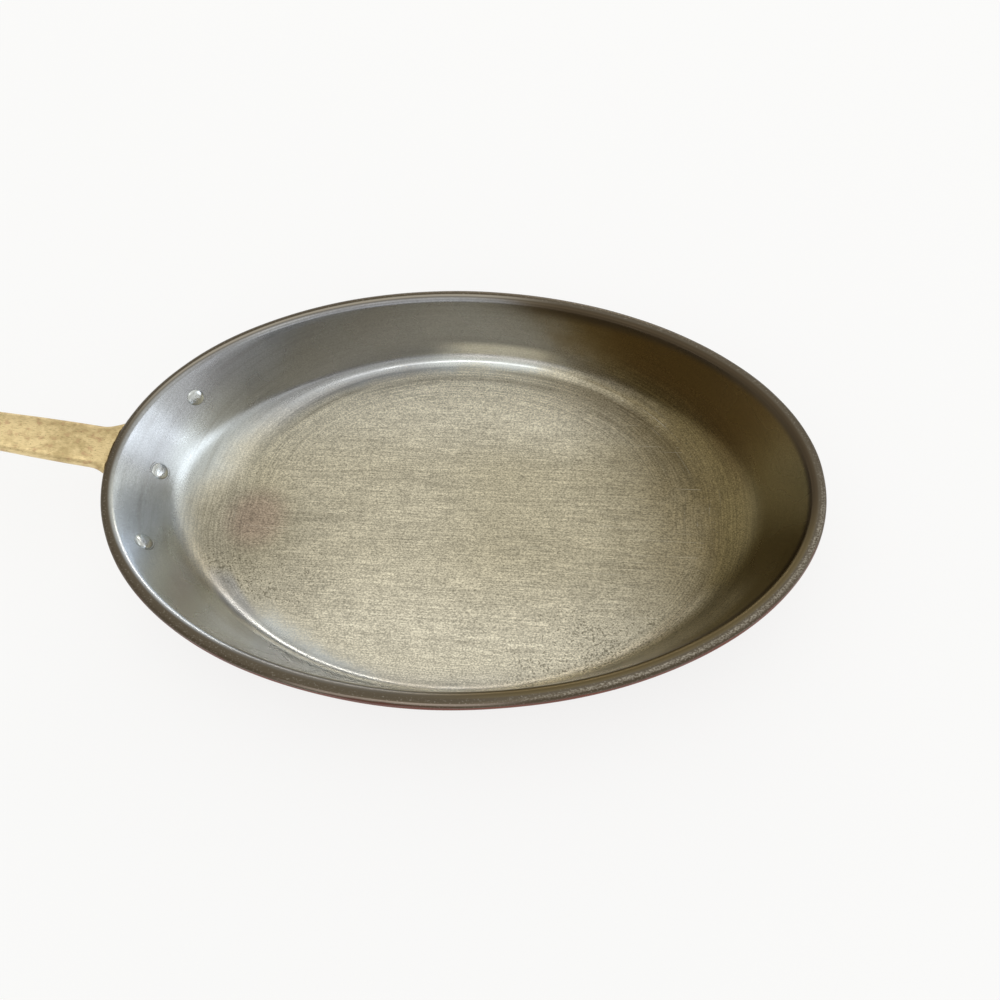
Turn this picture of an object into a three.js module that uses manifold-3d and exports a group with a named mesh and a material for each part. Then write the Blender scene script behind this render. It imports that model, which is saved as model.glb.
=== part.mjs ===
import * as THREE from 'three';
import { mergeVertices } from 'three/addons/utils/BufferGeometryUtils.js';
import Module from 'manifold-3d';

// An oval copper gratin pan with a tinned inside and one long cast brass handle.
// Lengths are in millimetres and angles in degrees. The pan rests on z = 0, its long
// way is X with the handle at -X, and the origin is the middle of its flat bottom.

// The dish, one sheet of copper beaten to an oval and coated with tin inside.
const rimLength = 268;
const rimWidth = 170.2;
const endBluntness = 0.024;
const panHeight = 35;
const sheetThickness = 1.1;
const tinThickness = 0.25;
const sideSplay = 9.8;
const endSplay = 23.5;
const sideCornerRadius = 7;
const endCornerRadius = 27;

// The rolled edge, a bead turned outwards round an iron wire.
const beadRadius = 2.3;
const rimFlat = 1.0;
const shoulderRadius = 1.5;
const curlAngle = 235;
const tinOverBead = 60;
const wireClearance = 0.12;

// The three copper rivets, set along the wall's normal. Each drop is counted down from
// the upper edge of the handle's plate.
const rivetSpread = 32.7;
const outerRivetDrop = 4.2;
const middleRivetDrop = 9.7;
const shankRadius = 2.2;
const headRadius = 3.4;
const headHeight = 1.2;
const tailRadius = 3.1;
const tailHeight = 0.8;
const tailChamfer = 0.6;
const shankClearance = 0.3;
const seatGap = 0.3;

// The handle's plate, which follows the end wall and spreads to a lobe at each rivet.
// Fitted by hand, it lies a little to the far side of the pan's middle.
const plateShift = 1.2;
const plateThickness = 3.2;
const plateEdgeThickness = 2;
const plateBevel = 1.6;
const plateBelowBead = 0.9;
const outerLobeRadius = 7.6;
const outerLobeBlend = 3.8;
const middleLobeRadius = 7.2;
const middleLobeHalfWidth = 15;
const webWidth = 7.5;

// The handle's stem, which leaves the plate under the bead, rises and ends in a hanging
// eye. Its middle line is a little farther across than the plate's.
const stemShift = 4.2;
const stemReach = 160;
const stemRootDrop = 0.9;
const stemEndRise = 33;
const rootSlope = 16;
const endSlope = 6;
const rootFlareWidth = 31;
const rootFlareLength = 16;
const neckWidth = 17.6;
const waistWidth = 12.6;
const waistDistance = 98;
const eyeWidth = 25;
const eyeBlendLength = 57;
const neckThickness = 7.6;
const eyeThickness = 6;
const tipThickness = 3.3;
const thinningStart = 10;
const thinningEnd = 120;
const crownShare = 0.42;
const sectionFullness = 0.8;
const bendShare = 0.36;
const eyeHoleWidth = 9.5;
const eyeHoleLength = 15;

// How finely the curves are divided.
const roundSteps = 68;
const cornerSteps = 5;
const shoulderSteps = 3;
const curlSteps = 8;
const wireSides = 8;
const envelopeSteps = 6;
const plateColumns = 38;
const stemSections = 30;
const stemSides = 20;
const rivetSides = 20;
const domeSteps = 4;

const radians = THREE.MathUtils.degToRad;
const smooth = THREE.MathUtils.smoothstep;
const mix = THREE.MathUtils.lerp;
const halfSheet = sheetThickness / 2;
const wireRadius = beadRadius - sheetThickness - wireClearance;
const plateTopDepth = 2 * beadRadius + plateBelowBead;
const outerRivetDepth = plateTopDepth + outerRivetDrop;
const middleRivetDepth = plateTopDepth + middleRivetDrop;

// The oval. A plain ellipse is scaled across by a factor that falls from the handle
// end to the far end, which makes the handle end blunter.
function rimOutline(angle) {
  const cos = Math.cos(angle);
  const sin = Math.sin(angle);
  const taper = 1 - endBluntness * cos;
  const point = new THREE.Vector3(rimLength / 2 * cos, rimWidth / 2 * sin * taper, 0);
  const alongY = rimWidth / 2 * (cos * taper + endBluntness * sin * sin);
  const outward = new THREE.Vector3(alongY, rimLength / 2 * sin, 0).normalize();
  return { point, outward };
}

// The straight part of the wall at one angle: where its line meets the floor, counted
// inwards from the rim, and how far it leans out from upright. The lean is found by
// repeating, because the bead's shoulder shifts a little as the wall leans.
function wallLine(angle) {
  const foot = sideSplay * Math.sin(angle) ** 2 + endSplay * Math.cos(angle) ** 2;
  const shoulderHeight = panHeight - halfSheet - shoulderRadius;
  let lean = 0;
  for (let pass = 0; pass < 20; pass += 1) {
    const topInset = beadRadius + rimFlat + shoulderRadius * Math.cos(lean);
    const topHeight = shoulderHeight + shoulderRadius * Math.sin(lean) - halfSheet;
    lean = Math.atan2(foot - topInset, topHeight);
  }
  return { foot, lean };
}

// A point on the middle of the sheet, as its inset from the rim, its height, and the
// tilt of its inward normal from upright. Positive tilt leans towards the pan's middle.
function sheetPoint(inset, height, tilt) {
  return { inset, height, tilt };
}

// The middle of the sheet from the floor's edge up the wall and round the bead. The
// corner above the floor is tight along the sides and much rounder at the two ends.
function sheetSection(angle) {
  const { foot, lean } = wallLine(angle);
  const cornerRadius = mix(sideCornerRadius, endCornerRadius, Math.cos(angle) ** 4);
  const turn = Math.PI / 2 - lean;
  const tangent = cornerRadius * Math.tan(turn / 2);
  const section = [];
  for (let step = 0; step <= cornerSteps; step += 1) {
    const tilt = turn * step / cornerSteps;
    section.push(sheetPoint(
      foot + tangent - cornerRadius * Math.sin(tilt),
      halfSheet + cornerRadius * (1 - Math.cos(tilt)),
      tilt,
    ));
  }
  for (let step = 0; step <= shoulderSteps; step += 1) {
    const tilt = turn * (1 - step / shoulderSteps);
    section.push(sheetPoint(
      beadRadius + rimFlat + shoulderRadius * Math.sin(tilt),
      panHeight - halfSheet - shoulderRadius * (1 - Math.cos(tilt)),
      tilt,
    ));
  }
  const curlRadius = beadRadius - halfSheet;
  for (let step = 0; step <= curlSteps; step += 1) {
    const tilt = -radians(curlAngle) * step / curlSteps;
    section.push(sheetPoint(
      beadRadius + curlRadius * Math.sin(tilt),
      panHeight - beadRadius + curlRadius * Math.cos(tilt),
      tilt,
    ));
  }
  return section;
}

// Carries a section point out along its normal and round to the pan's own frame.
function inPan(angle, { inset, height, tilt }, offset) {
  const { point, outward } = rimOutline(angle);
  const distance = inset + offset * Math.sin(tilt);
  const place = point.clone().addScaledVector(outward, -distance);
  place.z = height + offset * Math.cos(tilt);
  return place;
}

// One ring round the pan for each entry that a section function returns.
function ringsRoundPan(sectionAt) {
  const sections = [];
  for (let step = 0; step < roundSteps; step += 1) {
    const angle = 2 * Math.PI * step / roundSteps;
    sections.push(sectionAt(angle).map(([node, offset]) => inPan(angle, node, offset)));
  }
  return sections[0].map((_, index) => sections.map((section) => section[index]));
}

// A closed body through a row of rings with equal counts. Its two ends are closed by
// fans, or the last ring meets the first.
function loft(rings, endless = false) {
  const count = rings[0].length;
  const points = rings.flat();
  const faces = [];
  const spans = endless ? rings.length : rings.length - 1;
  for (let ring = 0; ring < spans; ring += 1) {
    const here = ring * count;
    const next = ((ring + 1) % rings.length) * count;
    for (let side = 0; side < count; side += 1) {
      const after = (side + 1) % count;
      faces.push(...splitQuad(points, here + side, next + side, next + after, here + after));
    }
  }
  if (!endless) {
    addFan(points, faces, 0, count, false);
    addFan(points, faces, (rings.length - 1) * count, count, true);
  }
  return closedGeometry(points, faces);
}

// Splits four corners along the shorter diagonal, so that two bodies that share a
// surface share its facets too.
function splitQuad(points, a, b, c, d) {
  if (points[a].distanceTo(points[c]) < points[b].distanceTo(points[d])) {
    return [[a, b, c], [a, c, d]];
  }
  return [[a, b, d], [b, c, d]];
}

function addFan(points, faces, first, count, reversed) {
  const middle = new THREE.Vector3();
  for (let side = 0; side < count; side += 1) {
    middle.addScaledVector(points[first + side], 1 / count);
  }
  const hub = points.push(middle) - 1;
  for (let side = 0; side < count; side += 1) {
    const one = first + side;
    const two = first + (side + 1) % count;
    faces.push(reversed ? [hub, two, one] : [hub, one, two]);
  }
}

// Writes the faces so that they point out of the body, whichever way the rings ran.
function closedGeometry(points, faces) {
  const cross = new THREE.Vector3();
  let volume = 0;
  for (const [a, b, c] of faces) {
    volume += points[a].dot(cross.crossVectors(points[b], points[c])) / 6;
  }
  const order = volume < 0 ? faces.map(([a, b, c]) => [a, c, b]) : faces;
  const geometry = new THREE.BufferGeometry();
  geometry.setAttribute(
    'position',
    new THREE.Float32BufferAttribute(points.flatMap((point) => point.toArray()), 3),
  );
  geometry.setIndex(order.flat());
  geometry.computeVertexNormals();
  return geometry;
}

// Boolean cuts and joins.
const wasm = await Module();
wasm.setup();

function toSolid(geometry) {
  const bare = geometry.clone();
  bare.deleteAttribute('normal');
  bare.deleteAttribute('uv');
  const merged = mergeVertices(bare, 1e-4);
  return new wasm.Manifold(new wasm.Mesh({
    numProp: 3,
    vertProperties: new Float32Array(merged.attributes.position.array),
    triVerts: new Uint32Array(merged.index.array),
  }));
}

function toGeometry(solid) {
  const mesh = solid.getMesh();
  const geometry = new THREE.BufferGeometry();
  geometry.setAttribute('position', new THREE.BufferAttribute(mesh.vertProperties, 3));
  geometry.setIndex(new THREE.BufferAttribute(mesh.triVerts, 1));
  geometry.computeVertexNormals();
  return geometry;
}

function cutFrom(geometry, cutters) {
  let solid = toSolid(geometry);
  for (const cutter of cutters) {
    solid = solid.subtract(toSolid(cutter));
  }
  return toGeometry(solid);
}

// The angle round the pan at which the sheet's middle, at a depth below the rim's top,
// lies at a given y on the handle end.
function angleAt(y, depth) {
  let low = Math.PI / 2;
  let high = 3 * Math.PI / 2;
  for (let pass = 0; pass < 40; pass += 1) {
    const middle = (low + high) / 2;
    if (inPan(middle, wallNode(middle, depth), 0).y > y) {
      low = middle;
    } else {
      high = middle;
    }
  }
  return (low + high) / 2;
}

function wallNode(angle, depth) {
  const { foot, lean } = wallLine(angle);
  const height = panHeight - depth;
  const inset = foot - (height - halfSheet) * Math.tan(lean);
  return sheetPoint(inset, height, Math.PI / 2 - lean);
}

// A point off the handle end's wall: offset counts out of the pan from the copper's
// outer face, along its normal.
function offWall(y, depth, offset) {
  const angle = angleAt(y, depth);
  return inPan(angle, wallNode(angle, depth), -halfSheet - offset);
}

// The copper sheet, with one hole for each rivet.
function copperGeometry() {
  const rings = ringsRoundPan((angle) => {
    const section = sheetSection(angle);
    const inner = section.map((node) => [node, halfSheet]);
    const outer = section.map((node) => [node, -halfSheet]).reverse();
    return [...inner, ...outer];
  });
  return loft(rings);
}

// The tin, wiped over the whole inside and over the top of the bead.
function tinGeometry() {
  const curlStepsCovered = Math.round(curlSteps * tinOverBead / curlAngle);
  const count = cornerSteps + shoulderSteps + 3 + curlStepsCovered;
  const rings = ringsRoundPan((angle) => {
    const section = sheetSection(angle).slice(0, count);
    const face = section.map((node) => [node, halfSheet + tinThickness]);
    const back = section.map((node) => [node, halfSheet]).reverse();
    return [...face, ...back];
  });
  return loft(rings);
}

// The wire that fills the bead.
function wireGeometry() {
  const rings = ringsRoundPan(() => {
    const round = [];
    for (let side = 0; side < wireSides; side += 1) {
      const tilt = -2 * Math.PI * side / wireSides;
      round.push([sheetPoint(beadRadius, panHeight - beadRadius, tilt), wireRadius]);
    }
    return round;
  });
  return loft(rings, true);
}

// Everything inside the pan's outer face, grown by the gap that the handle keeps to it.
function panEnvelope() {
  const rings = ringsRoundPan((angle) => {
    const section = sheetSection(angle);
    const wallSteps = cornerSteps + 1;
    const round = [];
    for (let step = 0; step <= envelopeSteps; step += 1) {
      const tilt = -Math.PI * step / envelopeSteps;
      round.push([sheetPoint(beadRadius, panHeight - beadRadius, tilt), beadRadius + seatGap]);
    }
    const underBead = wallNode(angle, 2 * beadRadius + seatGap);
    const wall = [...section.slice(0, wallSteps), underBead].reverse();
    return [...round, ...wall.map((node) => [node, -halfSheet - seatGap])];
  });
  return loft(rings);
}

// The plate's upper and lower edges, as depths below the rim, at a distance from the
// handle's middle: a lobe under the stem, a web on each side and a round lobe at its end.
function plateEdges(distance) {
  const lowestMiddle = middleRivetDepth + middleLobeRadius;
  const lowestOuter = outerRivetDepth + outerLobeRadius;
  const middleShare = Math.max(0, 1 - (distance / middleLobeHalfWidth) ** 2) ** 1.5;
  const outerShare = smooth(distance, middleLobeHalfWidth, rivetSpread - outerLobeBlend);
  const inner = mix(plateTopDepth + webWidth, lowestMiddle, middleShare);
  let lower = mix(inner, lowestOuter, outerShare);
  let upper = plateTopDepth;
  if (distance > rivetSpread) {
    const round = Math.sqrt(1 - Math.min(1, ((distance - rivetSpread) / outerLobeRadius) ** 2));
    lower = outerRivetDepth + (lower - outerRivetDepth) * round;
    upper = outerRivetDepth - (outerRivetDepth - upper) * round;
  }
  return { upper, lower };
}

function plateGeometry() {
  const bluntTip = 0.985;
  const reach = rivetSpread + outerLobeRadius * bluntTip;
  const rings = [];
  for (let column = 0; column <= plateColumns; column += 1) {
    const share = column / plateColumns;
    const across = -reach * mix(Math.cos(Math.PI * share), 1 - 2 * share, 0.5);
    const { upper, lower } = plateEdges(Math.abs(across));
    const bevel = Math.min(plateBevel, (lower - upper) / 4);
    const profile = [
      [upper, 0],
      [upper, plateEdgeThickness],
      [upper + bevel, plateThickness],
      [(upper + lower) / 2, plateThickness],
      [lower - bevel, plateThickness],
      [lower, plateEdgeThickness],
      [lower, 0],
      [(upper + lower) / 2, 0],
    ];
    rings.push(profile.map(([depth, offset]) => (
      offWall(plateShift + across, depth, seatGap + offset)
    )));
  }
  return loft(rings);
}

// The stem's middle line, from inside the wall out to the tip.
function stemCurve() {
  const root = offWall(stemShift, plateTopDepth + stemRootDrop, -2 * sheetThickness);
  const tip = new THREE.Vector3(-rimLength / 2 - stemReach, stemShift, panHeight + stemEndRise);
  const span = root.x - tip.x;
  const along = (slope) => new THREE.Vector3(-1, 0, Math.tan(radians(slope)));
  return new THREE.CubicBezierCurve3(
    root,
    root.clone().addScaledVector(along(rootSlope), span * bendShare),
    tip.clone().addScaledVector(along(endSlope), -span * bendShare),
    tip,
  );
}

// The stem's width: a flare at the root, a neck, a waist and the round end at the eye.
function stemWidth(fromRoot, fromTip) {
  const eyeRadius = eyeWidth / 2;
  if (fromTip < eyeRadius) {
    return 2 * Math.sqrt(Math.max(0, eyeRadius ** 2 - (eyeRadius - fromTip) ** 2));
  }
  const flare = mix(rootFlareWidth, neckWidth, smooth(fromRoot, 0, rootFlareLength));
  const waist = mix(flare, waistWidth, smooth(fromRoot, rootFlareLength, waistDistance));
  return mix(eyeWidth, waist, smooth(fromTip, eyeRadius, eyeBlendLength));
}

// The stem's thickness, which thins towards the eye and is rounded off at the tip.
function stemThickness(fromRoot, width) {
  const thickness = mix(neckThickness, eyeThickness, smooth(fromRoot, thinningStart, thinningEnd));
  return mix(tipThickness, thickness, Math.min(1, width / eyeThickness));
}

// One oval section of the stem: a low crown on top and a fuller curve below.
function stemRing(curve, share) {
  const length = curve.getLength();
  const fromRoot = share * length;
  const place = curve.getPointAt(share);
  const along = curve.getTangentAt(share);
  const up = new THREE.Vector3(0, 1, 0).cross(along).normalize();
  const width = Math.max(stemWidth(fromRoot, length - fromRoot), 1);
  const thickness = stemThickness(fromRoot, width);
  const swell = (value) => Math.sign(value) * Math.abs(value) ** sectionFullness;
  const ring = [];
  for (let side = 0; side < stemSides; side += 1) {
    const turn = 2 * Math.PI * side / stemSides;
    const rise = Math.sin(turn) > 0 ? crownShare : 1 - crownShare;
    const across = width / 2 * swell(Math.cos(turn));
    const lift = thickness * rise * swell(Math.sin(turn));
    ring.push(place.clone().addScaledVector(up, lift).add(new THREE.Vector3(0, across, 0)));
  }
  return ring;
}

function stemGeometry() {
  const curve = stemCurve();
  const rings = [];
  for (let section = 0; section <= stemSections; section += 1) {
    const share = Math.sin(Math.PI / 2 * section / stemSections);
    rings.push(stemRing(curve, share));
  }
  return loft(rings);
}

// The hanging eye, a drop-shaped hole with its point towards the pan.
function eyeGeometry() {
  const radius = eyeHoleWidth / 2;
  const point = eyeHoleLength - radius;
  const lean = Math.acos(radius / point);
  const outline = new THREE.Shape();
  outline.moveTo(point, 0);
  outline.lineTo(radius * Math.cos(lean), radius * Math.sin(lean));
  outline.absarc(0, 0, radius, lean, 2 * Math.PI - lean, false);
  outline.closePath();
  const depth = eyeThickness * 3;
  const hole = new THREE.ExtrudeGeometry(outline, { depth, bevelEnabled: false, curveSegments: 14 });
  hole.translate(0, 0, -depth / 2);
  const curve = stemCurve();
  const share = 1 - eyeWidth / 2 / curve.getLength();
  const place = curve.getPointAt(share);
  const along = curve.getTangentAt(share);
  hole.rotateY(Math.atan2(along.z, -along.x));
  hole.translate(place.x, place.y, place.z);
  return hole;
}

// Where each rivet lies, on the copper's outer face, and the way its tail points.
function rivetSeat(y, depth) {
  const place = offWall(y, depth, 0);
  const outward = offWall(y, depth, 1).sub(place).normalize();
  return { place, outward };
}

const rivetSeats = {
  rivet_far: rivetSeat(plateShift + rivetSpread, outerRivetDepth),
  rivet_middle: rivetSeat(plateShift, middleRivetDepth),
  rivet_near: rivetSeat(plateShift - rivetSpread, outerRivetDepth),
};

function placeOnSeat(object, { place, outward }) {
  object.position.copy(place);
  object.quaternion.setFromUnitVectors(new THREE.Vector3(0, 1, 0), outward);
  return object;
}

// A rivet turned about its own axis. Zero is the copper's outer face and the head, a low
// dome, lies inside the pan; the hollow wall's sag under the head is added to its gap.
function rivetGeometry() {
  const endCurve = rimWidth ** 2 / (2 * rimLength);
  const sag = headRadius ** 2 / (2 * (endCurve - endSplay));
  const headSeat = -sheetThickness - tinThickness - seatGap - sag;
  const tailSeat = 2 * seatGap + plateThickness;
  const profile = [new THREE.Vector2(0, headSeat - headHeight)];
  for (let step = 1; step <= domeSteps; step += 1) {
    const turn = Math.PI / 2 * step / domeSteps;
    profile.push(new THREE.Vector2(
      headRadius * Math.sin(turn),
      headSeat - headHeight * Math.cos(turn),
    ));
  }
  profile.push(new THREE.Vector2(shankRadius, headSeat));
  profile.push(new THREE.Vector2(shankRadius, tailSeat));
  profile.push(new THREE.Vector2(tailRadius, tailSeat));
  profile.push(new THREE.Vector2(tailRadius, tailSeat + tailHeight - tailChamfer));
  profile.push(new THREE.Vector2(tailRadius - tailChamfer, tailSeat + tailHeight));
  profile.push(new THREE.Vector2(0, tailSeat + tailHeight));
  return new THREE.LatheGeometry(profile, rivetSides);
}

// A straight cut along a rivet's axis, between two distances from the copper's outer face.
function drillAlong(seat, radius, from, to) {
  const drill = new THREE.CylinderGeometry(radius, radius, to - from, rivetSides);
  drill.translate(0, (from + to) / 2, 0);
  const holder = placeOnSeat(new THREE.Object3D(), seat);
  holder.updateMatrixWorld(true);
  return drill.applyMatrix4(holder.matrixWorld);
}

const seats = Object.values(rivetSeats);
const drillReach = 3 * plateThickness;
const rivetHoles = seats.map((seat) => (
  drillAlong(seat, shankRadius + shankClearance, -drillReach, drillReach)
));

// The stem keeps clear of each rivet's tail, which is hammered flat on the plate.
const tailPockets = seats.map((seat) => (
  drillAlong(seat, tailRadius + shankClearance, seatGap + plateThickness, drillReach)
));

function handleGeometry() {
  const blank = toSolid(plateGeometry()).add(toSolid(stemGeometry()));
  const cuts = [panEnvelope(), eyeGeometry(), ...rivetHoles, ...tailPockets];
  return cutFrom(toGeometry(blank), cuts);
}

// Finishes.
const copper = { color: 0x9c5a3c, roughness: 0.42, metalness: 1 };
const tin = { color: 0x8d8f8c, roughness: 0.46, metalness: 1 };
const brass = { color: 0xb8904f, roughness: 0.4, metalness: 1 };
const iron = { color: 0x4b4745, roughness: 0.7, metalness: 1 };

function piece(name, geometry, finish) {
  const mesh = new THREE.Mesh(geometry, new THREE.MeshStandardMaterial(finish));
  mesh.name = name;
  return mesh;
}

const group = new THREE.Group();
group.add(piece('pan_shell', cutFrom(copperGeometry(), rivetHoles), copper));
group.add(piece('tin_lining', cutFrom(tinGeometry(), rivetHoles), tin));
group.add(piece('rim_wire', wireGeometry(), iron));
group.add(piece('handle', handleGeometry(), brass));
for (const [name, seat] of Object.entries(rivetSeats)) {
  group.add(placeOnSeat(piece(name, rivetGeometry(), copper), seat));
}

export default group;
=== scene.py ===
# %% [markdown]
# # An oval copper gratin pan
#
# The pan is one sheet of copper, wiped with tin inside, with its edge rolled over an iron
# wire. A cast brass handle is held to one end by three copper rivets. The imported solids
# give every size and place. This lesson makes the surfaces that the eye meets: worn tin,
# aged copper and filed brass. Most shapes are worked out as whole arrays of points, because
# a formula can be read, checked and changed, and it gives the same mesh each time.

# %% Load the fixed frame
import math

import bpy
import numpy as np
from mathutils import Matrix, Vector


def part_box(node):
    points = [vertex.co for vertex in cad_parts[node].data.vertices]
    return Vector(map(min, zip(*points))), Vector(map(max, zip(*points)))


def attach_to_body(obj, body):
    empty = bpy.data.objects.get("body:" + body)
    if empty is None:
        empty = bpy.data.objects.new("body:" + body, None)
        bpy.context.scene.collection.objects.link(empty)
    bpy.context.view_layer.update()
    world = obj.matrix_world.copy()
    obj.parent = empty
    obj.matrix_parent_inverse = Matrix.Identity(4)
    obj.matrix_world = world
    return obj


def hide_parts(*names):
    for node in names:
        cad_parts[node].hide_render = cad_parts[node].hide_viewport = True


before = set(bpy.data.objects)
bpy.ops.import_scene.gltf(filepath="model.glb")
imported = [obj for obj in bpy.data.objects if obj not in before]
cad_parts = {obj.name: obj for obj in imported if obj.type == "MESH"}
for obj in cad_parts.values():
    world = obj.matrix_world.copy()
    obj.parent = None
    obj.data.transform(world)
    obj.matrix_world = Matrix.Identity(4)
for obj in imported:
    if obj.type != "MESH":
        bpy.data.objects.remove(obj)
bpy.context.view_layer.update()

print("nodes:", sorted(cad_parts))

# %% [markdown]
# Every length below is in millimetres, and one factor turns it to Blender's metres when a
# mesh is written. The pan's length, width and height are read from the frame. The rest
# repeats what the solids were made with: the sheet, the bead, the splay of the wall.

# %% Sizes of the dish
MM = 0.001
shell_low, shell_high = [np.array(corner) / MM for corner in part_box("pan_shell")]
RIM_LENGTH = shell_high[0] - shell_low[0]
BULGE = 0.06
RIM_WIDTH = shell_high[1] - shell_low[1] - BULGE
PAN_HEIGHT = shell_high[2]
END_BLUNTNESS = 0.024
SHEET = 1.1
TIN = 0.25
SIDE_SPLAY = 9.8
END_SPLAY = 23.5
SIDE_CORNER = 7
END_CORNER = 27
BEAD_RADIUS = 2.3
RIM_FLAT = 1.0
SHOULDER_RADIUS = 1.5
CURL_ANGLE = math.radians(235)
HALF_SHEET = SHEET / 2
print(f"rim {RIM_LENGTH:.1f} x {RIM_WIDTH:.1f}, height {PAN_HEIGHT:.1f} mm")

# %% [markdown]
# ## Camera
#
# The photograph was taken close by and from above, with a wide lens, and the camera was
# turned a little. The camera comes first, so that each later step can be looked at from
# the right place. It is given by where it aims, how far it stands, and three angles.

# %% Camera
VIEW_AIM = (24.3, -11.1, 35.0)
VIEW_DISTANCE = 249.3
VIEW_ELEVATION = math.radians(64.31)
VIEW_AZIMUTH = math.radians(13.91)
VIEW_ROLL = math.radians(-9.88)
LENS = 25.2
LENS_SHIFT = -0.011


def photo_camera():
    """Stands VIEW_DISTANCE from the aim along a direction given by azimuth and elevation,
    then turns about the line of sight by the roll."""
    level = math.cos(VIEW_ELEVATION)
    back = Vector((
        math.sin(VIEW_AZIMUTH) * level,
        -math.cos(VIEW_AZIMUTH) * level,
        math.sin(VIEW_ELEVATION),
    ))
    right = Vector((0, 0, 1)).cross(back).normalized()
    right = Matrix.Rotation(VIEW_ROLL, 3, back) @ right
    up = back.cross(right)
    place = (Vector(VIEW_AIM) + back * VIEW_DISTANCE) * MM
    data = bpy.data.cameras.new("photo_camera")
    data.sensor_width = 36
    data.lens = LENS
    data.shift_x = LENS_SHIFT
    data.clip_start = 0.01
    made = bpy.data.objects.new("photo_camera", data)
    bpy.context.scene.collection.objects.link(made)
    made.matrix_world = Matrix((
        (right.x, up.x, back.x, place.x),
        (right.y, up.y, back.y, place.y),
        (right.z, up.z, back.z, place.z),
        (0, 0, 0, 1),
    ))
    return made


camera = photo_camera()
bpy.context.scene.camera = camera
print("camera at", [round(v / MM) for v in camera.location], "mm")

# %% [markdown]
# ## Helpers for meshes
#
# Each surface below is a grid of points worked out as whole arrays. Adding vertices one by
# one would do the same, but slowly and in many more lines. Two helpers turn such a grid
# into a closed mesh: one lists the faces between neighbouring rings, the other writes the
# mesh, turns its faces outwards and smooths it.

# %% Faces of a grid


def ring_faces(rings, around, endless):
    """The four corners of each face between ring i and ring i + 1, side j and side j + 1,
    counted ring by ring. An endless surface also joins the last ring to the first."""
    ring, side = np.meshgrid(
        np.arange(rings if endless else rings - 1), np.arange(around), indexing="ij"
    )
    after_ring = (ring + 1) % rings
    after_side = (side + 1) % around
    corners = [
        ring * around + side,
        after_ring * around + side,
        after_ring * around + after_side,
        ring * around + after_side,
    ]
    return np.stack(corners, -1).reshape(-1, 4)


def volume_of(points, quads):
    """Six times the signed volume: for each face, the sum of its two triangles' corners'
    triple products."""
    a, b, c, d = [points[quads[:, corner]] for corner in range(4)]
    return np.sum(a * np.cross(b, c)) + np.sum(a * np.cross(c, d))


print("a loop of 3 rings with 4 sides has", len(ring_faces(3, 4, endless=True)), "faces")

# %% A closed mesh from a grid


def closed_mesh(name, grid, poles=()):
    """Makes an object from grid[ring, side] in mm. With two poles, the first and the last
    ring are closed by fans that meet at them, and without any the rings form a loop."""
    rings, around = grid.shape[:2]
    points = grid.reshape(-1, 3)
    quads = ring_faces(rings, around, endless=not len(poles))
    fans = np.zeros((0, 3), int)
    if len(poles):
        side = np.arange(around)
        after = (side + 1) % around
        first_hub = np.full(around, len(points))
        last = (rings - 1) * around
        fans = np.concatenate([
            np.stack([first_hub, side, after], -1),
            np.stack([first_hub + 1, last + after, last + side], -1),
        ])
        points = np.concatenate([points, np.asarray(poles, float)])
    if volume_of(points, quads) < 0:
        quads, fans = quads[:, ::-1], fans[:, ::-1]
    mesh = bpy.data.meshes.new(name)
    mesh.from_pydata((points * MM).tolist(), [], quads.tolist() + fans.tolist())
    mesh.shade_smooth()
    made = bpy.data.objects.new(name, mesh)
    bpy.context.scene.collection.objects.link(made)
    return made


# %% Values stored in a mesh, and a check of it


def attach(piece, name, values):
    """Stores one number or one vector per vertex, for a material to read."""
    kind = "FLOAT" if values.ndim == 1 else "FLOAT_VECTOR"
    attribute = piece.data.attributes.new(name, kind, "POINT")
    field = "value" if values.ndim == 1 else "vector"
    attribute.data.foreach_set(field, values.astype(np.float32).ravel())


def outward_check(piece):
    """Prints the triangle count and the volume, which is positive when faces point out."""
    mesh = piece.data
    mesh.calc_loop_triangles()
    corners = np.zeros(len(mesh.loop_triangles) * 3, int)
    mesh.loop_triangles.foreach_get("vertices", corners)
    points = np.zeros(len(mesh.vertices) * 3)
    mesh.vertices.foreach_get("co", points)
    a, b, c = points.reshape(-1, 3)[corners.reshape(-1, 3)].transpose(1, 0, 2) / MM
    volume = np.sum(a * np.cross(b, c)) / 6
    print(f"{piece.name}: {len(a)} triangles, {volume / 1000:.2f} cm3")


# %% [markdown]
# ## The oval and its wall
#
# The rim is an ellipse that is scaled across by a factor falling from the handle's end to
# the far end, which makes the handle's end blunter. The wall is a section carried round
# it: a corner arc, a straight splayed wall, a small shoulder, a narrow flat and the bead.
# The sides are steep with a tight corner. The ends lean farther out and are much rounder.
# A round pan, spun on a lathe and then stretched, would be quicker to make, but its sheet
# would come out thinner at the sides than at the ends. Here the section is set square to
# the rim at every angle, so the sheet keeps one thickness.

# %% The rim's outline and the wall's line
LEAN_ROUNDS = 20


def rim_outline(angle):
    """The point (length / 2 cos, width / 2 sin (1 - bluntness cos)), and the unit normal
    that points out of the pan there."""
    cos, sin = np.cos(angle), np.sin(angle)
    taper = 1 - END_BLUNTNESS * cos
    point = np.stack([RIM_LENGTH / 2 * cos, RIM_WIDTH / 2 * sin * taper], -1)
    slope = RIM_WIDTH / 2 * (cos * taper + END_BLUNTNESS * sin**2)
    outward = np.stack([slope, RIM_LENGTH / 2 * sin], -1)
    return point, outward / np.linalg.norm(outward, axis=-1, keepdims=True)


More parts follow.
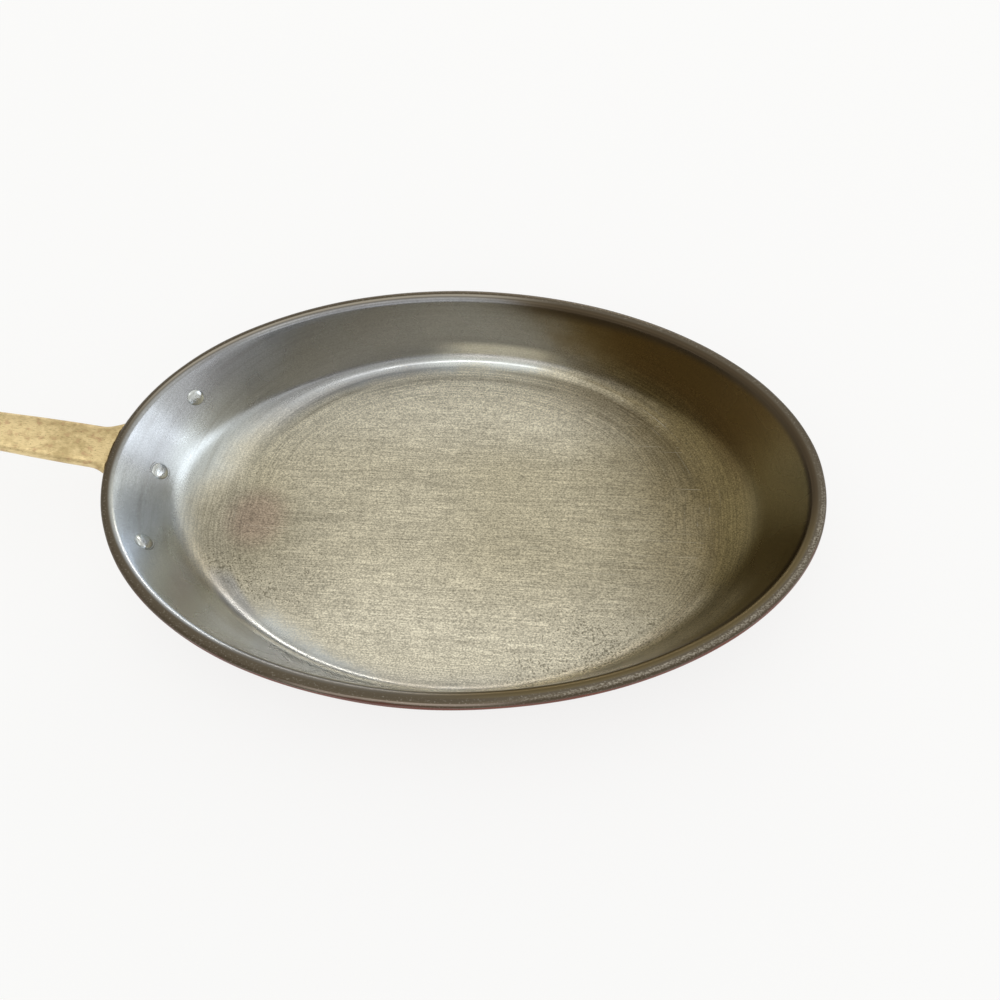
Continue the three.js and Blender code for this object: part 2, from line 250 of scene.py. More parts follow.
def wall_line(angle):
    """How far in from the rim the straight wall would meet the floor, and how far the
    wall leans out from upright. The lean is repeated until the shoulder fits it."""
    foot = SIDE_SPLAY * np.sin(angle) ** 2 + END_SPLAY * np.cos(angle) ** 2
    lean = np.zeros_like(foot)
    for _ in range(LEAN_ROUNDS):
        top_inset = BEAD_RADIUS + RIM_FLAT + SHOULDER_RADIUS * np.cos(lean)
        top_height = PAN_HEIGHT - SHEET - SHOULDER_RADIUS * (1 - np.sin(lean))
        lean = np.arctan2(foot - top_inset, top_height)
    return foot, lean


def in_pan(angle, inset, height, tilt, offset):
    """A section point moved along its own normal by offset and set round the oval. Inset
    counts inwards from the rim, and tilt leans the normal from upright to the middle."""
    point, outward = rim_outline(angle)
    distance = inset + offset * np.sin(tilt)
    flat = point - outward * distance[..., None]
    return np.concatenate([flat, (height + offset * np.cos(tilt))[..., None]], -1)


print("lean of the side wall:", round(math.degrees(wall_line(np.array(math.pi / 2))[1]), 1))
print("lean of the end wall:", round(math.degrees(wall_line(np.array(0.0))[1]), 1))

# %% [markdown]
# A beaten and rolled sheet is never true to the drawing. A few slow waves, round the pan
# and up its wall, move the sheet by about a tenth of a millimetre. That is enough to bend
# a reflection. The waves only ever move the metal inwards, so the pan keeps its size. A
# Displace modifier could do it too, but both faces of a thin sheet have to move together.

# %% Unevenness of hand work
WAVE_COUNT = 16
WAVE_HEIGHT = 0.09
FLOOR_RADIUS = 64
BASE_LIFT = 0.3
wave_random = np.random.default_rng(11)
wave_turns = wave_random.integers(2, 15, WAVE_COUNT)
wave_slopes = wave_random.uniform(-0.2, 0.2, WAVE_COUNT)
wave_starts = wave_random.uniform(0, 2 * math.pi, WAVE_COUNT)


def unevenness(angle, climb):
    """The sum of sixteen sines of (turns * angle + slope * climb + start), scaled to lie
    between 0 and twice the wave height. Climb is in mm up the sheet, from the floor's
    edge."""
    phase = wave_turns * angle[..., None] + wave_slopes * climb[..., None] + wave_starts
    total = np.sin(phase).sum(-1) / math.sqrt(WAVE_COUNT)
    return WAVE_HEIGHT * (1 + np.clip(total, -1, 1))


probe = unevenness(np.linspace(0, 6, 200), np.linspace(-FLOOR_RADIUS, 40, 200))
print(f"unevenness from {probe.min():.3f} to {probe.max():.3f} mm")

# %% [markdown]
# The section is one array: each row is one place on the sheet's middle, from the floor's
# edge over the corner, up the wall and round the bead. The copper and the tin both take
# their surfaces from it, so they lie on each other exactly. The tin stops on the bead.

# %% The middle of the sheet
AROUND = 360
FLOOR_RINGS = 26
CORNER_ROWS = 14
WALL_ROWS = 10
SHOULDER_ROWS = 8
ANGLES = np.linspace(0, 2 * math.pi, AROUND, endpoint=False)


def turning(start, end, rows):
    """Tilts from start to end in equal steps, one row each, for every angle round."""
    return start + (end - start) * np.linspace(0, 1, rows)[:, None]


def sheet_middle(curl_end, curl_rows):
    """Inset, height, tilt and climb of every row. The corner is an arc from flat to the
    wall's lean, the shoulder turns back to flat, and the curl turns down to curl_end. The
    corner's radius goes from that of the sides to that of the ends by the angle's cosine
    to the fourth power. Each row is then moved by the unevenness, up on the floor and
    inwards on the bead."""
    foot, lean = wall_line(ANGLES)
    turn = math.pi / 2 - lean
    flat = np.zeros_like(turn)
    radius = SIDE_CORNER + (END_CORNER - SIDE_CORNER) * np.cos(ANGLES) ** 4
    tangent = radius * np.tan(turn / 2)
    corner = turning(flat, turn, CORNER_ROWS)
    shoulder = turning(turn, flat, SHOULDER_ROWS)
    curl = turning(flat, curl_end, curl_rows)
    curl_radius = BEAD_RADIUS - HALF_SHEET
    shoulder_height = PAN_HEIGHT - HALF_SHEET - SHOULDER_RADIUS
    inset = [
        foot + tangent - radius * np.sin(corner),
        BEAD_RADIUS + RIM_FLAT + SHOULDER_RADIUS * np.sin(shoulder),
        BEAD_RADIUS + curl_radius * np.sin(curl),
    ]
    height = [
        HALF_SHEET + radius * (1 - np.cos(corner)),
        shoulder_height + SHOULDER_RADIUS * np.cos(shoulder),
        PAN_HEIGHT - BEAD_RADIUS + curl_radius * np.cos(curl),
    ]
    share = np.linspace(0, 1, WALL_ROWS + 2)[1:-1, None]
    for rows in (inset, height):
        rows.insert(1, rows[0][-1] + (rows[1][0] - rows[0][-1]) * share)
    wall = np.tile(turn, (WALL_ROWS, 1))
    upright = np.full((curl_rows, AROUND), math.pi / 2)
    tilt = np.concatenate([corner, wall, shoulder, curl])
    pull = np.concatenate([corner, wall, math.pi / 2 - shoulder * lean / turn, upright])
    inset, height = np.concatenate(inset), np.concatenate(height)
    steps = np.hypot(np.diff(inset, axis=0), np.diff(height, axis=0))
    climb = np.concatenate([np.zeros((1, AROUND)), np.cumsum(steps, 0)])
    lift = unevenness(np.tile(ANGLES, (len(climb), 1)), climb)
    return inset + lift * np.sin(pull), height + lift * np.cos(pull), tilt, climb


floor_share = np.linspace(0, 1, FLOOR_RINGS + 1)[1:-1, None]
floor_climb = -FLOOR_RADIUS * (1 - floor_share) * np.ones(AROUND)
floor_rise = BASE_LIFT * (1 - floor_share**2) + floor_share * unevenness(
    np.tile(ANGLES, (FLOOR_RINGS - 1, 1)), floor_climb
)
print(f"the floor's middle stands {floor_rise[0].mean():.2f} mm high")

# %% [markdown]
# ## Copper dish and tin coat
#
# Both are closed bodies: a front face, a back face and the edge between them. A Solidify
# modifier could thicken one face, but the tin has to thin out towards its edge. Each vertex
# also stores where it lies on the sheet: a sweep coordinate that turns with the angle, for
# marks that run round the pan, the climb from the floor's edge, and the direction along
# the rim, which a brushed metal's stretched highlight needs.

# %% A closed body from the sheet's middle


def sheet_face(middle, offset):
    """The floor's rings, as smaller copies of the floor's edge, and then the section's
    rows, all moved along their normals by offset, which has one value per row."""
    inset, height, tilt, climb = middle
    side = in_pan(ANGLES, inset, height, tilt, offset[:, None])
    floor = side[:1] * floor_share[..., None]
    floor[..., 2] = HALF_SHEET + offset[0] + floor_rise
    hub = [0, 0, HALF_SHEET + offset[0] + BASE_LIFT]
    return np.concatenate([floor, side]), hub


def sheet_body(name, middle, front_offset, back_offset):
    """Joins the front face, from the middle outwards, to the back face, from the edge
    back to the middle, and stores each vertex's place on the sheet."""
    front, front_hub = sheet_face(middle, front_offset)
    back, back_hub = sheet_face(middle, back_offset)
    made = closed_mesh(name, np.concatenate([front, back[::-1]]), [front_hub, back_hub])
    climb = np.concatenate([floor_climb, middle[3]])
    climb = np.concatenate([climb, climb[::-1]])
    margin = np.concatenate([floor_share * 0 + FLOOR_RADIUS * np.ones(AROUND), middle[0]])
    margin = np.concatenate([margin, margin[::-1]])
    angle = np.tile(ANGLES, (len(climb), 1))
    sweep = [np.cos(angle) * FLOOR_RADIUS, np.sin(angle) * FLOOR_RADIUS, FLOOR_RADIUS + climb]
    outward = np.tile(rim_outline(ANGLES)[1], (len(climb), 1, 1))
    along = np.stack([-outward[..., 1], outward[..., 0], 0 * climb], -1).reshape(-1, 3)
    hubs = np.zeros((2, 3))
    attach(made, "sweep", np.concatenate([np.stack(sweep, -1).reshape(-1, 3), hubs]))
    attach(made, "along", np.concatenate([along, hubs + [1, 0, 0]]))
    attach(made, "climb", np.concatenate([climb.ravel(), [-FLOOR_RADIUS, -FLOOR_RADIUS]]))
    attach(made, "margin", np.concatenate([margin.ravel(), [FLOOR_RADIUS, FLOOR_RADIUS]]))
    return made


# %% [markdown]
# The copper is curled down and under, most of the way round the wire. The tin was wiped
# over the bead by hand, so its edge wanders and thins out.

# %% Copper dish
COPPER_CURL_ROWS = 30
copper_curl = np.full(AROUND, -CURL_ANGLE)
copper_middle = sheet_middle(copper_curl, COPPER_CURL_ROWS)
rows = len(copper_middle[0])
copper_dish = sheet_body(
    "copper_dish", copper_middle, np.full(rows, HALF_SHEET), np.full(rows, -HALF_SHEET)
)
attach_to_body(copper_dish, "root")
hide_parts("pan_shell")
outward_check(copper_dish)

# %% Tin coat
TIN_CURL_ROWS = 12
TIN_EDGE = math.radians(58)
TIN_WANDER = math.radians(7)
THIN_ROWS = 4
THIN_SHARE = 0.25
wander = np.sin(9 * ANGLES + 1) + np.sin(17 * ANGLES + 2) + np.sin(31 * ANGLES)
tin_middle = sheet_middle(-TIN_EDGE + TIN_WANDER * wander / 3, TIN_CURL_ROWS)
rows = len(tin_middle[0])
thickness = np.full(rows, TIN)
thickness[-THIN_ROWS:] *= np.linspace(1, THIN_SHARE, THIN_ROWS)
tin_coat = sheet_body(
    "tin_coat", tin_middle, HALF_SHEET + thickness, np.full(rows, HALF_SHEET)
)
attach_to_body(tin_coat, "root")
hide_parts("tin_lining")
outward_check(tin_coat)

# %% [markdown]
# ## Places on the end wall
#
# The rivets and the handle's plate are set on the wall at the handle's end. A place there
# is given by how far across it lies, how deep below the rim, and how far off the copper's
# outer face. The angle round the oval that has the wanted y is found by halving.

# %% Off the wall
HALVINGS = 40


def wall_row(angle, depth):
    """The sheet's middle on the straight wall, at a depth below the rim."""
    foot, lean = wall_line(angle)
    height = PAN_HEIGHT - depth
    return foot - (height - HALF_SHEET) * np.tan(lean), height, math.pi / 2 - lean


def angle_at(y, depth):
    """Halves the range from a quarter turn to three quarters until the wall at that depth
    has the wanted y, for whole arrays at once."""
    low, high = np.full(y.shape, math.pi / 2), np.full(y.shape, 3 * math.pi / 2)
    for _ in range(HALVINGS):
        middle = (low + high) / 2
        beyond = in_pan(middle, *wall_row(middle, depth), 0 * y)[..., 1] > y
        low, high = np.where(beyond, middle, low), np.where(beyond, high, middle)
    return (low + high) / 2


def off_wall(y, depth, offset):
    """A point at offset out of the pan from the copper's outer face, along its normal."""
    y, depth, offset = [np.asarray(v, float) for v in np.broadcast_arrays(y, depth, offset)]
    angle = angle_at(y, depth)
    return in_pan(angle, *wall_row(angle, depth), -HALF_SHEET - offset)


print("wall at the stem, mm:", np.round(off_wall(4.2, 6.4, 0), 1))

# %% [markdown]
# ## Rivets
#
# Each copper rivet has a low head inside the pan and a tail hammered flat on the plate
# outside. The head was tinned over with the pan, so a fine groove and a soft rim of tin
# run round it. It is turned from a profile, then knocked out of true a little, because a
# hammer leaves no two heads alike. A flattened ball would have neither groove nor tail.

# %% Rivet sizes and seats
RIVET_SPREAD = 32.7
OUTER_RIVET_DROP = 4.2
MIDDLE_RIVET_DROP = 9.7
SHANK_RADIUS = 2.2
HEAD_RADIUS = 3.4
HEAD_HEIGHT = 1.2
TAIL_RADIUS = 3.1
TAIL_HEIGHT = 0.8
PLATE_SHIFT = 1.2
PLATE_THICKNESS = 3.2
PLATE_BELOW_BEAD = 0.9
PLATE_GAP = 0.12
PLATE_TOP = 2 * BEAD_RADIUS + PLATE_BELOW_BEAD
RIVET_SEATS = {
    "rivet_far": (PLATE_SHIFT + RIVET_SPREAD, PLATE_TOP + OUTER_RIVET_DROP),
    "rivet_middle": (PLATE_SHIFT, PLATE_TOP + MIDDLE_RIVET_DROP),
    "rivet_near": (PLATE_SHIFT - RIVET_SPREAD, PLATE_TOP + OUTER_RIVET_DROP),
}
RIVET_SIDES = 72
print("rivets at y, mm:", [round(seat[0], 1) for seat in RIVET_SEATS.values()])


def wall_axes(y, depth):
    """The place on the copper's outer face, and three unit axes there: two in the wall
    and the one that points out of the pan."""
    place = off_wall(y, depth, 0)
    outward = off_wall(y, depth, 1) - place
    down = off_wall(y, depth + 1, 0) - place
    down -= outward * np.dot(down, outward)
    down /= np.linalg.norm(down)
    return place, np.stack([np.cross(outward, down), down, outward])


# %% Rivet profile
SKIRT_RADIUS = 4.5
SKIRT_SINK = 0.35
SKIRT_HEIGHT = 0.14
GROOVE_RADIUS = 3.75
GROOVE_DEPTH = 0.02
DOME_ROWS = 12


def rivet_profile():
    """Radius and distance inwards from the tin's face, from the head's crown, over its
    edge, the groove and the skirt of tin, along the shank to the flattened tail."""
    turn = np.linspace(0.08, 1, DOME_ROWS) * math.pi / 2
    dome = np.stack([HEAD_RADIUS * np.sin(turn) ** 0.9, HEAD_HEIGHT * np.cos(turn) ** 0.75], -1)
    inside = [
        (HEAD_RADIUS + 0.1, GROOVE_DEPTH),
        (GROOVE_RADIUS, GROOVE_DEPTH),
        (GROOVE_RADIUS + 0.15, SKIRT_HEIGHT),
        (GROOVE_RADIUS + 0.35, 0.13),
        (SKIRT_RADIUS, -SKIRT_SINK),
        (SHANK_RADIUS, -SKIRT_SINK),
    ]
    seat = -(SHEET + TIN + PLATE_GAP + PLATE_THICKNESS)
    outside = [
        (SHANK_RADIUS, seat),
        (TAIL_RADIUS, seat),
        (TAIL_RADIUS + 0.05, seat - TAIL_HEIGHT * 0.25),
        (TAIL_RADIUS - 0.1, seat - TAIL_HEIGHT * 0.55),
        (TAIL_RADIUS - 0.5, seat - TAIL_HEIGHT * 0.85),
        (TAIL_RADIUS - 1.2, seat - TAIL_HEIGHT * 0.98),
        (0.6, seat - TAIL_HEIGHT),
    ]
    return np.concatenate([dome, inside, outside])


print(len(rivet_profile()), "points in a rivet's profile")

# %% Three rivets
FIRST_RIVET_SEED = 20


def rivet(name, seat, seed):
    """Turns the profile about the wall's normal. Hammering is four slow waves in the
    radius and a slanted crown, both seeded by the rivet's number."""
    place, axes = wall_axes(*seat)
    profile = rivet_profile()
    turn = np.linspace(0, 2 * math.pi, RIVET_SIDES, endpoint=False)
    random = np.random.default_rng(seed)
    starts = random.uniform(0, 2 * math.pi, 4)
    dents = sum(np.sin(k * turn + starts[k - 2]) / k for k in (2, 3, 4, 5))
    radius = profile[:, :1] * (1 + 0.025 * dents)
    crown = np.clip(profile[:, 1:] / HEAD_HEIGHT, 0, 1) * radius / HEAD_RADIUS
    rise = profile[:, 1:] - crown * (0.07 * np.cos(turn - starts[0]) + 0.05 * np.cos(2 * turn))
    across, down, outward = axes
    grid = (
        place
        + across * (radius * np.cos(turn))[..., None]
        + down * (radius * np.sin(turn))[..., None]
        - outward * (rise + SHEET + TIN)[..., None]
    )
    poles = [grid[0].mean(0), grid[-1].mean(0)]
    made = closed_mesh(name, grid, poles)
    inwards = np.concatenate([np.repeat(profile[:, 1], RIVET_SIDES), profile[[0, -1], 1]])
    attach(made, "inwards", inwards)
    return made


rivets = []
for number, (node_name, seat) in enumerate(RIVET_SEATS.items()):
    piece = rivet("copper_" + node_name, seat, FIRST_RIVET_SEED + number)
    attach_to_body(piece, "root")
    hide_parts(node_name)
    rivets.append(piece)
    outward_check(piece)

# %% [markdown]
# ## Handle
#
# The handle is one brass casting: a thin plate that follows the end wall and spreads to a
# lobe at each rivet, and a long stem that leaves it under the bead and ends in a hanging
# eye. A casting has no sharp seams, so the plate and the stem are drawn as two closed
# bodies, joined, cut by the pan's own outside, and rebuilt as small voxels. A little
# smoothing then leaves the soft corners that sand and file leave. One mesh modelled by hand
# under a Subdivision Surface would have fewer faces, but it couldn't follow changed sizes.

# %% Handle sizes
PLATE_EDGE = 2
PLATE_BEVEL = 1.6
OUTER_LOBE = 7.6
OUTER_LOBE_BLEND = 3.8
MIDDLE_LOBE = 7.2
MIDDLE_LOBE_HALF = 15
WEB_WIDTH = 7.5
STEM_SHIFT = 4.2
STEM_REACH = 160
STEM_ROOT_DROP = 0.9
STEM_END_RISE = 33
ROOT_SLOPE = math.radians(16)
END_SLOPE = math.radians(6)
BEND_SHARE = 0.36
FLARE_WIDTH = 31
FLARE_LENGTH = 16
NECK_WIDTH = 17.6
WAIST_WIDTH = 12.6
WAIST_AT = 98
EYE_WIDTH = 25
EYE_BLEND = 57
NECK_THICKNESS = 7.6
EYE_THICKNESS = 6
TIP_THICKNESS = 3.3
THINNING = (10, 120)
CROWN_SHARE = 0.42
FULLNESS = 0.8
EYE_HOLE_WIDTH = 9.5
EYE_HOLE_LENGTH = 15
TAIL_CLEARANCE = 0.3
POCKET_REACH = 12
print(f"the handle reaches {RIM_LENGTH / 2 + STEM_REACH:.0f} mm from the pan's middle")

# %% Blends


def ease(value, start, end):
    """0 before start, 1 after end, and a smooth 3 s squared - 2 s cubed between."""
    share = np.clip((value - start) / (end - start), 0, 1)
    return share * share * (3 - 2 * share)


def mix(a, b, share):
    """A straight blend from a to b."""
    return a + (b - a) * share


# %% Plate on the wall
PLATE_COLUMNS = 150
BLUNT_TIP = 0.985


def plate_edges(distance):
    """Depths of the plate's upper and lower edge. A bell of power one and a half makes the
    lobe under the stem, an eased step the outer lobes, and a half oval rounds the ends."""
    bell = np.clip(1 - (distance / MIDDLE_LOBE_HALF) ** 2, 0, 1) ** 1.5
    lowest_middle = PLATE_TOP + MIDDLE_RIVET_DROP + MIDDLE_LOBE
    outer_depth = PLATE_TOP + OUTER_RIVET_DROP
    lower = mix(PLATE_TOP + WEB_WIDTH, lowest_middle, bell)
    outer = ease(distance, MIDDLE_LOBE_HALF, RIVET_SPREAD - OUTER_LOBE_BLEND)
    lower = mix(lower, outer_depth + OUTER_LOBE, outer)
    past = np.clip((distance - RIVET_SPREAD) / OUTER_LOBE, 0, 1)
    round_off = np.sqrt(1 - past**2)
    upper = outer_depth - (outer_depth - PLATE_TOP) * round_off
    return upper, mix(outer_depth, lower, round_off)


def plate_body():
    """Columns from one tip of the plate to the other. Each is a ring of eight points: up
    the back, over the two bevels and down the front."""
    share = np.linspace(0, 1, PLATE_COLUMNS)
    reach = RIVET_SPREAD + OUTER_LOBE * BLUNT_TIP
    across = -reach * mix(np.cos(math.pi * share), 1 - 2 * share, 0.5)
    upper, lower = plate_edges(np.abs(across))
    bevel = np.minimum(PLATE_BEVEL, (lower - upper) / 4)
    middle = (upper + lower) / 2
    depths = [upper, upper, upper + bevel, middle, lower - bevel, lower, lower, middle]
    rise = np.array([0, PLATE_EDGE] + 3 * [PLATE_THICKNESS] + [PLATE_EDGE, 0, 0])
    grid = off_wall(PLATE_SHIFT + across[:, None], np.stack(depths, -1), PLATE_GAP + rise)
    return closed_mesh("plate_body", grid, [grid[0].mean(0), grid[-1].mean(0)])


# %% Stem along a curve
STEM_SECTIONS = 150
STEM_SIDES = 56
CURVE_POINTS = 2000


def stem_line():
    """A cubic Bezier from inside the wall to the tip, as many points, with the distance
    run at each."""
    root = off_wall(STEM_SHIFT, PLATE_TOP + STEM_ROOT_DROP, -2 * SHEET)
    tip = np.array([-RIM_LENGTH / 2 - STEM_REACH, STEM_SHIFT, PAN_HEIGHT + STEM_END_RISE])
    pull = (root[0] - tip[0]) * BEND_SHARE
    leave = root + pull * np.array([-1, 0, math.tan(ROOT_SLOPE)])
    arrive = tip - pull * np.array([-1, 0, math.tan(END_SLOPE)])
    t = np.linspace(0, 1, CURVE_POINTS)[:, None]
    first_half = (1 - t) ** 3 * root + 3 * t * (1 - t) ** 2 * leave
    line = first_half + 3 * t**2 * (1 - t) * arrive + t**3 * tip
    run = np.concatenate([[0], np.cumsum(np.linalg.norm(np.diff(line, axis=0), axis=1))])
    return line, run


def along_stem(distance):
    """Place, direction and upward normal at distances along the stem's line."""
    line, run = stem_line()
    place = np.stack([np.interp(distance, run, line[:, k]) for k in range(3)], -1)
    slopes = np.gradient(line, run, axis=0)
    along = np.stack([np.interp(distance, run, slopes[:, k]) for k in range(3)], -1)
    along /= np.linalg.norm(along, axis=-1, keepdims=True)
    up = np.cross([0, 1, 0], along)
    return place, along, up / np.linalg.norm(up, axis=-1, keepdims=True)


def stem_width(from_root, from_tip):
    """A flare at the root, a neck, a waist and the round end, each eased into the next."""
    radius = EYE_WIDTH / 2
    flare = mix(FLARE_WIDTH, NECK_WIDTH, ease(from_root, 0, FLARE_LENGTH))
    waist = mix(flare, WAIST_WIDTH, ease(from_root, FLARE_LENGTH, WAIST_AT))
    body = mix(EYE_WIDTH, waist, ease(from_tip, radius, EYE_BLEND))
    round_end = 2 * np.sqrt(np.clip(radius**2 - (radius - from_tip) ** 2, 0, None))
    return np.where(from_tip < radius, round_end, body)


def stem_body():
    """Oval sections carried along the stem's line, closer together towards the tip, with
    a low crown above the line and a fuller curve below it."""
    length = stem_line()[1][-1]
    from_root = length * np.sin(math.pi / 2 * np.linspace(0, 1, STEM_SECTIONS))
    place, along, up = along_stem(from_root)
    width = np.maximum(stem_width(from_root, length - from_root), 1)
    thickness = mix(NECK_THICKNESS, EYE_THICKNESS, ease(from_root, *THINNING))
    thickness = mix(TIP_THICKNESS, thickness, np.minimum(1, width / EYE_THICKNESS))
    turn = np.linspace(0, 2 * math.pi, STEM_SIDES, endpoint=False)
    cos, sin = [np.sign(v) * np.abs(v) ** FULLNESS for v in (np.cos(turn), np.sin(turn))]
    share = np.where(sin > 0, CROWN_SHARE, 1 - CROWN_SHARE)
    across = width[:, None] / 2 * cos
    lift = thickness[:, None] * share * sin
    grid = place[:, None] + up[:, None] * lift[..., None]
    grid[..., 1] += across
    return closed_mesh("stem_body", grid, [grid[0].mean(0), grid[-1].mean(0)])


print(f"the stem's line is {stem_line()[1][-1]:.0f} mm long")

# %% What is cut away
ENVELOPE_ROWS = 16
EYE_ROUND_POINTS = 40


def pan_envelope():
    """The pan's outside, grown by the plate's gap: half round the bead, then down the
    wall and the corner."""
    tilt = turning(np.zeros(AROUND), np.full(AROUND, -math.pi), ENVELOPE_ROWS)
    bead = in_pan(ANGLES, BEAD_RADIUS + 0 * tilt, PAN_HEIGHT - BEAD_RADIUS + 0 * tilt, tilt,
                  BEAD_RADIUS + PLATE_GAP)
    under = in_pan(ANGLES, *wall_row(ANGLES, 2 * BEAD_RADIUS + PLATE_GAP), -HALF_SHEET - PLATE_GAP)
    inset, height, tilt, climb = [rows[CORNER_ROWS - 1::-1] for rows in tin_middle]
    corner = in_pan(ANGLES, inset, height, tilt, -HALF_SHEET - PLATE_GAP)
    grid = np.concatenate([bead, under[None], corner])
    return closed_mesh("pan_envelope", grid, [grid[0].mean(0), grid[-1].mean(0)])


def eye_drop():
    """A drop-shaped prism across the stem: a round end and two straight sides that meet
    at a point towards the pan."""
    radius = EYE_HOLE_WIDTH / 2
    point = EYE_HOLE_LENGTH - radius
    lean = math.acos(radius / point)
    turn = np.linspace(lean, 2 * math.pi - lean, EYE_ROUND_POINTS)
    outline = np.concatenate([[[point, 0]], radius * np.stack([np.cos(turn), np.sin(turn)], -1)])
    length = stem_line()[1][-1]
    place, along, up = along_stem(np.array([length - EYE_WIDTH / 2]))
    flat = place[0] - along[0] * outline[:, :1] + np.array([0, 1, 0]) * outline[:, 1:]
    levels = np.array([-1.5, 1.5])[:, None, None] * EYE_THICKNESS * up[0]
    grid = flat + levels
    return closed_mesh("eye_drop", grid, [place[0] + levels[0, 0], place[0] + levels[1, 0]])


def tail_pocket(seat):
    """A cylinder round a rivet's tail, which keeps the stem clear of it."""
    place, (across, down, outward) = wall_axes(*seat)
    turn = np.linspace(0, 2 * math.pi, RIVET_SIDES, endpoint=False)
    radius = TAIL_RADIUS + TAIL_CLEARANCE
    ring = radius * (across * np.cos(turn)[:, None] + down * np.sin(turn)[:, None])
    levels = place + outward * np.array([PLATE_GAP + PLATE_THICKNESS, POCKET_REACH])[:, None]
    return closed_mesh("tail_pocket", levels[:, None] + ring, list(levels))


# %% Join, cut and soften
VOXEL = 0.45
SOFTEN_ROUNDS = 5


def baked(piece):
    """Replaces the piece's mesh by what its modifiers make of it."""
    graph = bpy.context.evaluated_depsgraph_get()
    piece.data = bpy.data.meshes.new_from_object(piece.evaluated_get(graph))
    piece.modifiers.clear()


def cast_handle():
    """Joins the plate and the stem, takes the pan, the eye and the pocket round the middle
    rivet's tail away, rebuilds the body as voxels and smooths it."""
    handle = plate_body()
    handle.name = handle.data.name = "brass_handle"
    tools = [(stem_body(), "UNION"), (pan_envelope(), "DIFFERENCE"), (eye_drop(), "DIFFERENCE")]
    tools.append((tail_pocket(RIVET_SEATS["rivet_middle"]), "DIFFERENCE"))
    for tool, operation in tools:
        cut = handle.modifiers.new(tool.name, "BOOLEAN")
        cut.object = tool
        cut.operation = operation
        cut.solver = "EXACT"
    voxels = handle.modifiers.new("voxels", "REMESH")
    voxels.mode = "VOXEL"
    voxels.voxel_size = VOXEL * MM
    voxels.use_smooth_shade = True
    soften = handle.modifiers.new("soften", "SMOOTH")
    soften.factor = 0.5
    soften.iterations = SOFTEN_ROUNDS
    baked(handle)
    for tool, _ in tools:
        bpy.data.objects.remove(tool)
    handle.data.name = "brass_handle"
    return handle


brass_handle = cast_handle()
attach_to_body(brass_handle, "root")
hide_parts("handle")
outward_check(brass_handle)

# %% [markdown]
# ## Finishes
#
# A finish is a tree of nodes. One small function adds a node, sets its own properties and
# fills its sockets, each with a number, a colour, or another node to link from. Colours
# are written as on a screen and turned to the linear values that light adds up in. Every
# metal here has metallic 1 and the default IOR, so its colour is what its mirror image is
# tinted with, and its roughness says how blurred that image is.

# %% Helpers for materials


def colour(text):
    """An sRGB hex colour as linear red, green, blue and alpha: below a small threshold a
    straight line, and above it a power of 2.4."""
    values = np.array([int(text[k:k + 2], 16) for k in (1, 3, 5)]) / 255
    linear = np.where(values <= 0.04045, values / 12.92, ((values + 0.055) / 1.055) ** 2.4)
    return (*linear.tolist(), 1.0)


def add(tree, kind, inputs=None, **settings):
    """Adds one node. Inputs are keyed by socket name or number, and a node given as a
    value is linked from its first enabled output."""
    node = tree.nodes.new("ShaderNode" + kind)
    for name, value in settings.items():
        setattr(node, name, value)
    for key, value in (inputs or {}).items():
        if isinstance(value, bpy.types.Node):
            value = next(socket for socket in value.outputs if socket.enabled)
        if isinstance(value, bpy.types.NodeSocket):
            tree.links.new(value, node.inputs[key])
        else:
            node.inputs[key].default_value = value
    return node


def finish(name):
    """A new material with an empty tree."""
    material = bpy.data.materials.new(name)
    material.use_nodes = True
    material.node_tree.nodes.clear()
    return material, material.node_tree


def wear(piece, material):
    """Gives a piece its only material."""
    piece.data.materials.clear()
    piece.data.materials.append(material)
    print(piece.name, "wears", material.name, "of", len(material.node_tree.nodes), "nodes")


# %% [markdown]
# ## Worn tin
#
# Tin is wiped over hot copper with a cloth, and then scoured for years. The floor is rough
# and a little yellow, with fine strokes where a hand went to and fro, arcs near the wall
# where it went round, and pits where the tin has gone. Parts of the floor are painted paler,
# as painted sheen where they catch brighter light. The wall was hardly scoured: it stays
# smooth and grey, and it is painted duller grey, as painted shade, where it shows no bright
# reflection. A pale patch high on the near-left wall is a painted reflection, and a bright
# streak along the far corner is a painted highlight. The tin turns darker olive and brown
# towards the far end and up its wall, and on the near wall. The bead is brown, with painted
# shade at the edges of its curve, speckled wear and painted glints along it, and its coat is
# worn through to copper at its outside. A real scour mark is a few hundredths of a
# millimetre wide and wouldn't show from here, so the strokes are drawn 0.3 to 0.5 mm wide,
# which gives the eye the same silky, directed sheen.
#
# A real coat has no layers of paint, but its look can be built like one: each pattern is a
# mask from 0 to 1, and each mask blends one colour over those below it. Each line of the
# tables below is such a coat. It gives the colour, how strong it gets, and the limits that
# it keeps to: how far along or across the pan, how far up the sheet, how far in from the
# rim, or how far towards the far end the place lies. Some coats are painted light and shade
# rather than the tin's own colour. A table is easier to tune than a chain of nodes.

# %% Tin colours
TIN_GREY = "#d4d9d7"
TIN_SCOURED = "#c2baa2"
# Pale tin for the bright scratches, and painted sheen on parts of the floor.
PALE_TIN_AND_SHEEN = "#dcd6c3"
TIN_PITTED = "#857e6c"
# A painted highlight along the far corner.
PAINTED_CORNER_HIGHLIGHT = "#f4f3ee"
# Painted shade on the smooth wall and corner.
PAINTED_WALL_SHADE = "#a0a1a5"
# A painted reflection of cool light on the near-left wall.
PAINTED_WALL_REFLECTION = "#e9f1fa"
# Darker olive, green and brown towards the far end, on the near wall and on the bead.
DARK_OLIVE = "#776a4a"
DARK_GREEN_OLIVE = "#8b7e59"
DARK_BROWN_TIN = "#64502f"
PIT_DARK = "#55503f"
COPPER_BLUSH = "#b3998a"
BEAD_BROWN = "#665e51"
